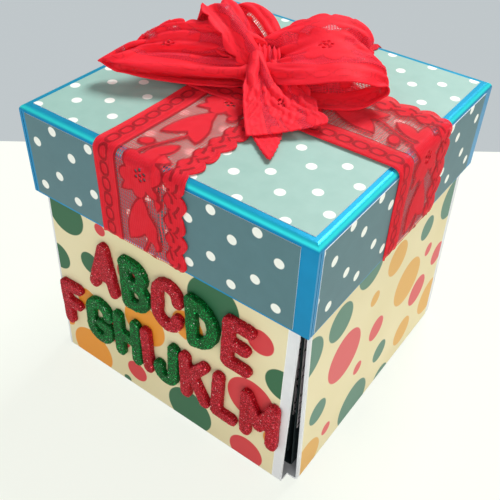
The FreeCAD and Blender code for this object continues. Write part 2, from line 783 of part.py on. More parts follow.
def loop(knot, name, rest):
    """A ribbon loop that leaves the knot, folds at its far end, at a slant, and comes back over itself."""
    out, _, lift = heading(name)
    root, reach, height = size("bow_root"), size(f"{name}_reach"), size(f"{name}_height")
    sag, slant = LOOP_SAG[name], LOOP_SLANT[name]

    def place(share, side):
        turn = 2 * math.pi * share
        belly = sag if share < 0.5 else 1.2 - sag
        rise = -math.sin(turn) * math.sin(turn / 2) * belly * height - 0.25 * root * math.cos(turn / 2)
        run = reach * (1 - math.cos(turn)) / 2 * (1 - abs(slant) / 2 + slant * side)
        return knot + out * run + lift * rise

    return ribbon(name, place, LOOP_STEPS, lambda share: 1 - abs(2 * share - 1), rest)


def loose_end(knot, name, rest):
    """A loose end that opens from the knot and comes down on the lid."""
    out, _, lift = heading(name)
    start = Vector(0, 0, size(f"{name}_lift"))

    def place(share, _side):
        fall = size(f"{name}_drop") * math.sin(math.pi / 2 * share)
        return knot + out * (size(f"{name}_reach") * share) - lift * fall + start * (1 - share)

    return ribbon(name, place, END_STEPS, lambda share: share, rest)


def knot_wrap(centre, azimuth):
    """The turn of ribbon round the middle of the bow: a pleated barrel."""
    radius = size("knot_radius")
    half = size("knot_width") / 2
    folds = 16
    rings = []
    spin = Placement(centre, Rotation(Vector(0, 0, 1), azimuth))
    for along, share in ((-half, 0.72), (-half * 0.4, 1.0), (half * 0.4, 1.0), (half, 0.72)):
        ring = []
        for index in range(folds):
            angle = 2 * math.pi * (index + 0.5) / folds
            reach = radius * share * (1.0 if index % 2 else 0.88)
            ring.append(spin.multVec(Vector(along, reach * math.cos(angle), reach * math.sin(angle))))
        rings.append(ring)
    return skin(rings)


def tie_bow():
    """One tied ribbon: knot, long left loop, upright loop, round right loop and two tails."""
    rest = size(LID_TOP + " + paper + 2 * lace + bow_seat")
    knot = Vector(size("front_lace_shift"), size("side_lace_shift"), rest + size("knot_radius"))
    pieces = [loop(knot, name, rest) for name in ("left", "upper", "right")]
    pieces += [loose_end(knot, name, rest) for name in ("long", "fan")]
    feature = doc.addObject("Part::Feature", "lace_bow")
    feature.Label = "lace_bow"
    feature.Shape = knot_wrap(knot, KNOT_TURN).multiFuse(pieces)
    PIECES.append(feature)


def check_pieces():
    """Stops before anything is written if a feature failed or a piece isn't one valid solid."""
    bad = []
    for item in doc.Objects:
        if "Invalid" in item.State or "Error" in item.State:
            bad.append("%s: %s" % (item.Label, ", ".join(item.State)))
    for piece in PIECES:
        shape = piece.Shape
        if shape.isNull() or not shape.isValid() or len(shape.Solids) != 1:
            bad.append("%s: not one valid solid" % piece.Label)
    if bad:
        raise RuntimeError("; ".join(bad))


def build_box():
    for layer in (BOX, SECOND, THIRD):
        make_layer(layer)
    outer_wall_papers()
    mats(BOX, "_wall_liner", False, "mat_margin", "mat_margin")
    for layer, name in ((SECOND, "_second"), (THIRD, "_third")):
        mats(layer, name + "_outer_mat", True, "mat_edge", "mat_foot")
        mats(layer, name + "_inner_mat", False, "mat_margin", "mat_margin")
    floor_mat()
    stick_letters()


def build_lid():
    make_lid()
    lid_papers()
    lace_band("front_back_lace", "0", 0, ("x", "front_lace_shift"))
    lace_band("left_right_lace", "lace", 90, ("y", "side_lace_shift"))
    tie_bow()


def write_pieces():
    os.makedirs("parts", exist_ok=True)
    for piece in PIECES:
        piece.Shape.exportStep("parts/%s.step" % piece.Label)
    print("%d pieces written" % len(PIECES))


build_box()
build_lid()
doc.recompute()
check_pieces()
write_pieces()
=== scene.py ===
"""Looks of the explosion box card: papers, card, glitter foam letters, lace bands and the tied lace bow.

Lengths in the classes are millimetres, and places of lamps, table and camera are metres. The frame is +Z up,
with the letters' wall facing -Y.
"""

import logging
import math
from dataclasses import dataclass, field
from enum import Enum
from typing import Callable, Optional, Sequence

import bpy
import numpy as np
from mathutils import Matrix, Vector


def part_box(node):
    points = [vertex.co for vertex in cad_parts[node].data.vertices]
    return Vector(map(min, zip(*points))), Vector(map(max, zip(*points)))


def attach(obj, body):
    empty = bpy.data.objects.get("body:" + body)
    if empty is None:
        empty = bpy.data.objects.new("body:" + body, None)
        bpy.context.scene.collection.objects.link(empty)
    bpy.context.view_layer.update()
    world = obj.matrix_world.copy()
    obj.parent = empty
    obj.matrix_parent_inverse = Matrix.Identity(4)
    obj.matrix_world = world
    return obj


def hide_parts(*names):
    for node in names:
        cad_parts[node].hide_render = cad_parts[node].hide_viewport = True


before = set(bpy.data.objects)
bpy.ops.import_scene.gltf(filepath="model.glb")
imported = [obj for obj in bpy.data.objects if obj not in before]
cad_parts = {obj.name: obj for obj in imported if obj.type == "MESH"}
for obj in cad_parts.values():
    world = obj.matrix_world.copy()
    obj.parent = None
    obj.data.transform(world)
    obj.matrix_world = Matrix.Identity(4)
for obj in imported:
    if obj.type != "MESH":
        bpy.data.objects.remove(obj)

log = logging.getLogger("explosion_box")

MM = 0.001
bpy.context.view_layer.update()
CLOTH_MAP = "cloth"
WEAVE = "weave"
FACE_TILT = 0.6  # a paper's normal is at least this much along its own axis on a face, and less on a cut edge

Array = np.ndarray
Spot = tuple[float, float, float]


# ---------------------------------------------------------------- helpers


def linear(hex_colour: str) -> tuple[float, float, float, float]:
    """Turns an sRGB hex colour into linear RGBA.

    Args:
        hex_colour: Six hex digits, with or without a leading #.

    Returns:
        Linear red, green, blue and an alpha of 1.
    """
    digits = hex_colour.lstrip("#")
    channels = [int(digits[i : i + 2], 16) / 255 for i in (0, 2, 4)]
    red, green, blue = (c / 12.92 if c <= 0.04045 else ((c + 0.055) / 1.055) ** 2.4 for c in channels)
    return red, green, blue, 1.0


def add_node(
    tree: bpy.types.NodeTree, kind: str, inputs: Optional[dict] = None, **settings: object
) -> bpy.types.Node:
    """Adds a node with its settings, and links or fills its inputs.

    Args:
        tree: The tree that gets the node.
        kind: The node's type name.
        inputs: Sockets or values by input name or number.
        **settings: Properties of the node itself.

    Returns:
        The new node.
    """
    node = tree.nodes.new(kind)
    for name, value in settings.items():
        setattr(node, name, value)
    for key, value in (inputs or {}).items():
        if isinstance(value, bpy.types.NodeSocket):
            tree.links.new(value, node.inputs[key])
        else:
            node.inputs[key].default_value = value
    return node


def new_mesh_object(name: str, mesh: bpy.types.Mesh) -> bpy.types.Object:
    """Links a mesh into the scene as an object at the origin.

    Args:
        name: The piece's name.
        mesh: Its mesh, already in place.

    Returns:
        The new object.
    """
    made = bpy.data.objects.new(name, mesh)
    bpy.context.scene.collection.objects.link(made)
    return made


def waves(x: Array, y: Array, seed: int, scale: float, octaves: int = 3) -> Array:
    """Smooth repeatable waviness over a plane, from about -1 to 1.

    Args:
        x: First coordinate, mm.
        y: Second coordinate, mm.
        seed: Picks the pattern.
        scale: Size of the largest waves, mm.
        octaves: How many finer layers are added.

    Returns:
        One value for each point.
    """
    random = np.random.default_rng(seed)
    total = np.zeros(np.broadcast(x, y).shape)
    for octave in range(octaves):
        for _ in range(4):
            angle = random.uniform(0, 2 * math.pi)
            length = scale / (1.9**octave) * random.uniform(0.8, 1.25)
            phase = random.uniform(0, 2 * math.pi)
            run = (x * math.cos(angle) + y * math.sin(angle)) * 2 * math.pi / length
            total += np.sin(run + phase) * 0.5**octave / 3
    return total


# ---------------------------------------------------------------- finishes


class Side(Enum):
    """Which way a flat paper faces: the axes of its print, and its own axis."""

    FRONT = ("X", "Z", "Y")
    BACK = ("X", "Z", "Y")
    RIGHT = ("Y", "Z", "X")
    LEFT = ("Y", "Z", "X")
    TOP = ("X", "Y", "Z")


SIDE_OF = {"front": Side.FRONT, "right": Side.RIGHT, "back": Side.BACK, "left": Side.LEFT}


class Finish:
    """A material under construction: a Principled shader with its Object coordinates in millimetres."""

    def __init__(self, name: str, roughness: float, metallic: float = 0.0) -> None:
        """Starts the material.

        Args:
            name: The material's name.
            roughness: The shader's roughness.
            metallic: The shader's metallic value.
        """
        self.material = bpy.data.materials.new(name)
        self.material.use_nodes = True
        self.tree = self.material.node_tree
        self.shader = self.tree.nodes["Principled BSDF"]
        self.shader.inputs["Roughness"].default_value = roughness
        self.shader.inputs["Metallic"].default_value = metallic
        place = add_node(self.tree, "ShaderNodeTexCoord")
        scaled = add_node(self.tree, "ShaderNodeVectorMath", {0: place.outputs["Object"]}, operation="SCALE")
        scaled.inputs["Scale"].default_value = 1 / MM
        self.position = scaled.outputs[0]

    def plane(self, side: Side) -> bpy.types.NodeSocket:
        """The print's own flat coordinates on a paper.

        Args:
            side: Which way the paper faces.

        Returns:
            A vector socket of (across, up, 0), mm.
        """
        across, up, _ = side.value
        parts = add_node(self.tree, "ShaderNodeSeparateXYZ", {0: self.position})
        flat = add_node(self.tree, "ShaderNodeCombineXYZ", {0: parts.outputs[across], 1: parts.outputs[up]})
        return flat.outputs[0]

    def mottled(self, low: str, high: str, size: float, detail: float = 3.0) -> bpy.types.NodeSocket:
        """A colour that drifts between two near shades, as pulp and ink do.

        Args:
            low: Hex of the darker shade.
            high: Hex of the lighter shade.
            size: Size of the patches, mm.
            detail: Noise detail.

        Returns:
            A colour socket.
        """
        noise = add_node(
            self.tree, "ShaderNodeTexNoise", {"Vector": self.position, "Scale": 1 / size, "Detail": detail}
        )
        mixed = add_node(
            self.tree, "ShaderNodeMixRGB", {0: noise.outputs["Fac"], 1: linear(low), 2: linear(high)}
        )
        return mixed.outputs[0]

    def over(self, mask: bpy.types.NodeSocket, below: bpy.types.NodeSocket, ink: str) -> bpy.types.NodeSocket:
        """Prints an ink over a colour where the mask is 1.

        Args:
            mask: A value socket from 0 to 1.
            below: The colour under the ink.
            ink: Hex of the ink.

        Returns:
            A colour socket.
        """
        mixed = add_node(self.tree, "ShaderNodeMixRGB", {0: mask, 1: below, 2: linear(ink)})
        return mixed.outputs[0]

    def fibres(self, size: float, height: float) -> None:
        """Gives the surface the fine tooth of paper or card.

        Args:
            size: Spacing of the fibres, mm.
            height: Their relief, mm.
        """
        noise = add_node(
            self.tree, "ShaderNodeTexNoise", {"Vector": self.position, "Scale": 1 / size, "Detail": 4.0}
        )
        bump = add_node(
            self.tree,
            "ShaderNodeBump",
            {"Height": noise.outputs["Fac"], "Distance": height * MM, "Strength": 1.0},
        )
        self.tree.links.new(bump.outputs[0], self.shader.inputs["Normal"])

    def cut_edges(self, side: Side, print_colour: bpy.types.NodeSocket, core: str) -> bpy.types.NodeSocket:
        """Shows the paper's white core on its cut edges, and the print on its faces.

        Args:
            side: Which way the paper faces.
            print_colour: The colour of the faces.
            core: Hex of the core.

        Returns:
            A colour socket.
        """
        shape = add_node(self.tree, "ShaderNodeNewGeometry")
        parts = add_node(self.tree, "ShaderNodeSeparateXYZ", {0: shape.outputs["True Normal"]})
        facing = add_node(
            self.tree, "ShaderNodeMath", {0: parts.outputs[side.value[2]]}, operation="ABSOLUTE"
        )
        edge = add_node(
            self.tree, "ShaderNodeMath", {0: facing.outputs[0], 1: FACE_TILT}, operation="LESS_THAN"
        )
        return self.over(edge.outputs[0], print_colour, core)

    def finish(self, colour: bpy.types.NodeSocket) -> bpy.types.Material:
        """Puts the colour on the shader.

        Args:
            colour: The finished colour.

        Returns:
            The material.
        """
        self.tree.links.new(colour, self.shader.inputs["Base Color"])
        return self.material


@dataclass(frozen=True)
class Cardstock:
    """Uncoated pulp card, calendered: matt, with a faint tooth and a slight mottle."""

    name: str
    low: str
    high: str
    roughness: float = 0.75

    def material(self) -> bpy.types.Material:
        """The card's material.

        Returns:
            The finished material.
        """
        made = Finish(self.name, self.roughness)
        made.fibres(0.35, 0.03)
        return made.finish(made.mottled(self.low, self.high, 6.0))


@dataclass(frozen=True)
class PearlCard:
    """Card with a pearl coat, and a painted cyan highlight along its folds over the lid's top edges."""

    name: str = "blue pearl card"
    low: str = "027EB0"
    high: str = "0A92C8"
    # fold: colour of the painted highlight on the rounded top folds, standing in for the light they catch
    fold: str = "3CFFFF"
    roughness: float = 0.32
    metallic: float = 0.4
    highlight_rise: float = 0.68
    highlight_reach: float = 0.36
    highlight_core: float = 0.08
    highlight_strength: float = 0.85

    def material(self) -> bpy.types.Material:
        """The card's material.

        Returns:
            The finished material.
        """
        made = Finish(self.name, self.roughness, self.metallic)
        made.shader.inputs["Specular IOR Level"].default_value = 0.2
        made.fibres(0.5, 0.012)
        # Painted highlight: the fold colour is mixed in where the normal leans about halfway between up and
        # sideways, as on the rounded top folds, and it mostly fades out on the flat faces.
        shape = add_node(made.tree, "ShaderNodeNewGeometry")
        parts = add_node(made.tree, "ShaderNodeSeparateXYZ", {0: shape.outputs["Normal"]})
        away = add_node(
            made.tree, "ShaderNodeMath", {0: parts.outputs["Z"], 1: self.highlight_rise}, operation="SUBTRACT"
        )
        off = add_node(made.tree, "ShaderNodeMath", {0: away.outputs[0]}, operation="ABSOLUTE")
        bent = add_node(
            made.tree,
            "ShaderNodeMapRange",
            {0: off.outputs[0], 1: self.highlight_reach, 2: self.highlight_core, 3: 0.0, 4: self.highlight_strength},
        )
        return made.finish(made.over(bent.outputs[0], made.mottled(self.low, self.high, 8.0), self.fold))


@dataclass(frozen=True)
class DottedPaper:
    """Offset-printed scrapbook paper: white dots in a staggered lattice on muted teal, with a dull coat."""

    name: str
    side: Side
    low: str
    high: str
    origin: tuple[float, float]
    pitch: tuple[float, float]
    second: tuple[float, float]
    dot: str = "F6F8F0"
    core: str = "E9EEF0"
    radius: float = 1.62
    blur: float = 0.12

    def material(self) -> bpy.types.Material:
        """The paper's material: the print on its faces and its bare core on the edges.

        Returns:
            The finished material.
        """
        made = Finish(self.name, 0.5)
        flat = made.plane(self.side)
        nearest = None
        for shift in ((0.0, 0.0), self.second):
            moved = add_node(
                made.tree,
                "ShaderNodeVectorMath",
                {0: flat, 1: (self.origin[0] + shift[0], self.origin[1] + shift[1], 0)},
                operation="SUBTRACT",
            )
            snapped = add_node(
                made.tree,
                "ShaderNodeVectorMath",
                {0: moved.outputs[0], 1: (self.pitch[0], self.pitch[1], 1.0)},
                operation="DIVIDE",
            )
            rounded = add_node(
                made.tree,
                "ShaderNodeVectorMath",
                {0: snapped.outputs[0], 1: (0.5, 0.5, 0.5)},
                operation="ADD",
            )
            cell = add_node(made.tree, "ShaderNodeVectorMath", {0: rounded.outputs[0]}, operation="FLOOR")
            centre = add_node(
                made.tree,
                "ShaderNodeVectorMath",
                {0: cell.outputs[0], 1: (self.pitch[0], self.pitch[1], 1.0)},
                operation="MULTIPLY",
            )
            reach = add_node(
                made.tree,
                "ShaderNodeVectorMath",
                {0: moved.outputs[0], 1: centre.outputs[0]},
                operation="DISTANCE",
            )
            if nearest is None:
                nearest = reach.outputs["Value"]
            else:
                nearest = add_node(
                    made.tree, "ShaderNodeMath", {0: nearest, 1: reach.outputs["Value"]}, operation="MINIMUM"
                ).outputs[0]
        mask = add_node(
            made.tree,
            "ShaderNodeMapRange",
            {0: nearest, 1: self.radius + self.blur, 2: self.radius - self.blur, 3: 0.0, 4: 1.0},
        )
        printed = made.over(mask.outputs[0], made.mottled(self.low, self.high, 5.0), self.dot)
        made.fibres(0.4, 0.012)
        return made.finish(made.cut_edges(self.side, printed, self.core))


@dataclass(frozen=True)
class SpottedPaper:
    """Scrapbook paper printed with round spots of several sizes in three inks on cream."""

    name: str
    side: Side
    spots: dict[str, Sequence[Spot]]
    low: str = "E2D4A4"
    high: str = "EEE2BC"
    core: str = "EDEDE8"
    blur: float = 0.15

    def material(self) -> bpy.types.Material:
        """The paper's material: the print on its faces and its bare core on the edges.

        Returns:
            The finished material.
        """
        made = Finish(self.name, 0.6)
        flat = made.plane(self.side)
        colour = made.mottled(self.low, self.high, 30.0, 1.0)
        for ink, places in self.spots.items():
            nearest = None
            for across, up, radius in places:
                away = add_node(
                    made.tree, "ShaderNodeVectorMath", {0: flat, 1: (across, up, 0.0)}, operation="DISTANCE"
                )
                inside = add_node(
                    made.tree, "ShaderNodeMath", {0: radius, 1: away.outputs["Value"]}, operation="SUBTRACT"
                )
                if nearest is None:
                    nearest = inside.outputs[0]
                else:
                    nearest = add_node(
                        made.tree, "ShaderNodeMath", {0: nearest, 1: inside.outputs[0]}, operation="MAXIMUM"
                    ).outputs[0]
            mask = add_node(
                made.tree, "ShaderNodeMapRange", {0: nearest, 1: -self.blur, 2: self.blur, 3: 0.0, 4: 1.0}
            )
            colour = made.over(mask.outputs[0], colour, ink)
        made.fibres(0.4, 0.012)
        return made.finish(made.cut_edges(self.side, colour, self.core))


@dataclass(frozen=True)
class FloralLinePaper:
    """Mauve paper printed with a loose dark line of blooms and stems."""

    name: str
    side: Side
    low: str = "CBBAC8"
    high: str = "EBDFE4"
    ink: str = "17171A"
    core: str = "E3E0E0"
    wander: float = 9.0
    petals_per_mm: float = 0.16
    blooms_per_mm: float = 0.06
    rings: float = 7.0
    petal_line: float = 0.04
    ring_line: float = 0.09

    def material(self) -> bpy.types.Material:
        """The paper's material: the print on its faces and its bare core on the edges.

        Returns:
            The finished material.
        """
        made = Finish(self.name, 0.6)
        flat = made.plane(self.side)
        drift = add_node(made.tree, "ShaderNodeTexNoise", {"Vector": flat, "Scale": 0.12, "Detail": 2.0})
        push = add_node(
            made.tree,
            "ShaderNodeVectorMath",
            {0: drift.outputs["Color"], "Scale": self.wander},
            operation="SCALE",
        )
        bent = add_node(made.tree, "ShaderNodeVectorMath", {0: flat, 1: push.outputs[0]}, operation="ADD")
        petals = add_node(
            made.tree,
            "ShaderNodeTexVoronoi",
            {"Vector": bent.outputs[0], "Scale": self.petals_per_mm},
            feature="DISTANCE_TO_EDGE",
        )
        blooms = add_node(
            made.tree, "ShaderNodeTexVoronoi", {"Vector": bent.outputs[0], "Scale": self.blooms_per_mm}
        )
        rings = add_node(
            made.tree, "ShaderNodeMath", {0: blooms.outputs["Distance"], 1: self.rings}, operation="MULTIPLY"
        )
        ring = add_node(made.tree, "ShaderNodeMath", {0: rings.outputs[0], 1: 1.0}, operation="PINGPONG")
        line = add_node(
            made.tree, "ShaderNodeMath", {0: petals.outputs[0], 1: self.petal_line}, operation="LESS_THAN"
        )
        curl = add_node(
            made.tree, "ShaderNodeMath", {0: ring.outputs[0], 1: self.ring_line}, operation="LESS_THAN"
        )
        both = add_node(
            made.tree, "ShaderNodeMath", {0: line.outputs[0], 1: curl.outputs[0]}, operation="MAXIMUM"
        )
        printed = made.over(both.outputs[0], made.mottled(self.low, self.high, 14.0), self.ink)
        made.fibres(0.4, 0.012)
        return made.finish(made.cut_edges(self.side, printed, self.core))


@dataclass(frozen=True)
class NylonLace:
    """Raschel-knit nylon lace: satin motifs, corded outlines, and a ribbed net that lets the ground show; the
    cords carry a darker colour, painted shade beside them.
    """

    name: str
    low: str
    high: str
    net: str
    glow: str = "FF3040"
    rib: float = 0.8
    thread_cover: float = 0.85
    satin_cover: float = 0.72
    rib_share: float = 0.24
    cross_share: float = 0.1
    # outline: colour on the cords round the motifs, darker than the lace: painted shade beside the raised
    # cords
    outline: str = "8A0814"
    relief: float = 0.08
    cross_ribs: float = 0.45

    def material(self) -> bpy.types.Material:
        """The lace's material: satin and cords that cover, and net that lets the ground through.

        Returns:
            The finished material.
        """
        made = Finish(self.name, 0.62)
        made.shader.inputs["Specular IOR Level"].default_value = 0.18
        made.shader.inputs["Sheen Weight"].default_value = 0.8
        made.shader.inputs["Sheen Roughness"].default_value = 0.45
        made.shader.inputs["Sheen Tint"].default_value = linear(self.glow)
        made.shader.inputs["Subsurface Weight"].default_value = 0.3
        made.shader.inputs["Subsurface Radius"].default_value = (1.0, 0.1, 0.12)
        made.shader.inputs["Subsurface Scale"].default_value = 0.5 * MM
        cloth = add_node(made.tree, "ShaderNodeUVMap", uv_map=CLOTH_MAP)
        flat = add_node(made.tree, "ShaderNodeVectorMath", {0: cloth.outputs[0]}, operation="SCALE")
        flat.inputs["Scale"].default_value = 1 / MM
        parts = add_node(made.tree, "ShaderNodeSeparateXYZ", {0: flat.outputs[0]})
        weave = add_node(made.tree, "ShaderNodeAttribute", attribute_name=WEAVE)
        satin = add_node(
            made.tree, "ShaderNodeMapRange", {0: weave.outputs["Fac"], 1: 0.35, 2: 0.65, 3: 0.0, 4: 1.0}
        )
        threads = []
        for axis, pitch, share in (("Y", self.rib, self.rib_share), ("X", self.rib * 1.6, self.cross_share)):
            step = add_node(
                made.tree, "ShaderNodeMath", {0: parts.outputs[axis], 1: pitch}, operation="DIVIDE"
            )
            saw = add_node(made.tree, "ShaderNodeMath", {0: step.outputs[0], 1: 0.5}, operation="PINGPONG")
            thread = add_node(
                made.tree,
                "ShaderNodeMapRange",
                {0: saw.outputs[0], 1: share / 2 + 0.08, 2: share / 2 - 0.08, 3: 0.0, 4: 1.0},
            )
            threads.append(thread.outputs[0])
        net = add_node(made.tree, "ShaderNodeMath", {0: threads[0], 1: threads[1]}, operation="MAXIMUM")
        thread = add_node(
            made.tree, "ShaderNodeMath", {0: net.outputs[0], 1: self.thread_cover}, operation="MULTIPLY"
        )
        body = add_node(
            made.tree, "ShaderNodeMath", {0: satin.outputs[0], 1: self.satin_cover}, operation="MULTIPLY"
        )
        woven = add_node(
            made.tree, "ShaderNodeMath", {0: thread.outputs[0], 1: body.outputs[0]}, operation="MAXIMUM"
        )
        solid = made.mottled(self.low, self.high, 3.0)
        colour = add_node(made.tree, "ShaderNodeMixRGB", {0: satin.outputs[0], 1: linear(self.net), 2: solid})
        halfway = add_node(
            made.tree, "ShaderNodeMath", {0: weave.outputs["Fac"], 1: 0.5}, operation="PINGPONG"
        )
        # The cords round the motifs: they really cover the net, and their outline colour is painted shade
        # beside them.
        cord = add_node(
            made.tree, "ShaderNodeMapRange", {0: halfway.outputs[0], 1: 0.1, 2: 0.32, 3: 0.0, 4: 0.8}
        )
        cover = add_node(
            made.tree, "ShaderNodeMath", {0: woven.outputs[0], 1: cord.outputs[0]}, operation="MAXIMUM"
        )
        made.tree.links.new(cover.outputs[0], made.shader.inputs["Alpha"])
        ribs = add_node(
            made.tree, "ShaderNodeMath", {0: parts.outputs["X"], 1: self.cross_ribs}, operation="PINGPONG"
        )
        height = add_node(made.tree, "ShaderNodeMath", {0: ribs.outputs[0], 1: threads[0]}, operation="ADD")
        bump = add_node(
            made.tree,
            "ShaderNodeBump",
            {"Height": height.outputs[0], "Distance": self.relief * MM, "Strength": 0.6},
        )
        made.tree.links.new(bump.outputs[0], made.shader.inputs["Normal"])
        # The outline colour laid over the cords is painted shade.
        return made.finish(made.over(cord.outputs[0], colour.outputs[0], self.outline))


@dataclass(frozen=True)
class GlitterFoam:
    """EVA craft foam under a coat of cut glitter: a rough crumb of tiny facets, each tilted its own way."""

    name: str
    low: str
    high: str
    crumbs_per_mm: float = 3.2
    relief: float = 0.16

    def material(self) -> bpy.types.Material:
        """The foam's material.

        Returns:
            The finished material.
        """
        made = Finish(self.name, 0.5)
        made.shader.inputs["Specular IOR Level"].default_value = 0.15
        crumb = add_node(
            made.tree, "ShaderNodeTexVoronoi", {"Vector": made.position, "Scale": self.crumbs_per_mm}
        )
        parts = add_node(made.tree, "ShaderNodeSeparateXYZ", {0: crumb.outputs["Color"]})
        colour = add_node(
            made.tree, "ShaderNodeMixRGB", {0: parts.outputs[0], 1: linear(self.low), 2: linear(self.high)}
        )
        bump = add_node(
            made.tree,
            "ShaderNodeBump",
            {"Height": parts.outputs[1], "Distance": self.relief * MM, "Strength": 1.0},
        )
        made.tree.links.new(bump.outputs[0], made.shader.inputs["Normal"])
        return made.finish(colour.outputs[0])


@dataclass(frozen=True)
class GlitterFlake:
    """A chip of metallised film: small, smooth and bright when it faces the light; a few chips carry a
    painted glint, near white, in their colour.
    """

    name: str
    tint: str
    painted_glint: str = "F4F6F2"
    chips_per_mm: float = 3.0
    glint_from: float = 0.965

    def material(self) -> bpy.types.Material:
        """The chip's material.

        Returns:
            The finished material.
        """
        made = Finish(self.name, 0.3, 0.8)
        made.shader.inputs["Specular Tint"].default_value = linear(self.tint)
        chip = add_node(
            made.tree, "ShaderNodeTexVoronoi", {"Vector": made.position, "Scale": self.chips_per_mm}
        )
        parts = add_node(made.tree, "ShaderNodeSeparateXYZ", {0: chip.outputs["Color"]})
        # Painted glint: chips whose random value passes glint_from are coloured near white.
        painted_glint = add_node(
            made.tree, "ShaderNodeMath", {0: parts.outputs[0], 1: self.glint_from}, operation="GREATER_THAN"
        )
        body = made.mottled(self.tint, self.tint, 1.0)
        return made.finish(made.over(painted_glint.outputs[0], body, self.painted_glint))


# ---------------------------------------------------------------- lace cloth


def ellipse(
    s: Array, t: Array, centre: tuple[float, float], half: tuple[float, float], turn: float = 0.0
) -> Array:
    """Roughly how far inside an ellipse each point lies, mm.

    Args:
        s: Place along the ribbon.
        t: Place across it.
        centre: The ellipse's middle.
        half: Its half axes.
        turn: Its turn from the ribbon's length, degrees.

    Returns:
        Positive inside, negative outside.
    """
    c, n = math.cos(math.radians(turn)), math.sin(math.radians(turn))
    x, y = s - centre[0], t - centre[1]
    along, across = x * c + y * n, y * c - x * n
    return (1 - np.sqrt((along / half[0]) ** 2 + (across / half[1]) ** 2)) * min(half)


def leaf(
    s: Array, t: Array, root: tuple[float, float], length: float, width: float, turn: float, curl: float = 0.0
) -> Array:
    """Roughly how far inside a pointed leaf each point lies, mm.

    Args:
        s: Place along the ribbon.
        t: Place across it.
        root: Where the leaf starts.
        length: Its length.
        width: Its full width.
        turn: Its direction from the ribbon's length, degrees.
        curl: How far its middle bows sideways.

    Returns:
        Positive inside, negative outside.
    """
    c, n = math.cos(math.radians(turn)), math.sin(math.radians(turn))
    x, y = s - root[0], t - root[1]
    along = x * c + y * n - length / 2
    half, thick = length / 2, width / 2
    across = y * c - x * n - curl * (1 - (along / half) ** 2)
    radius = (half**2 + thick**2) / (2 * thick)
    return radius - np.hypot(along, np.abs(across) + radius - thick)


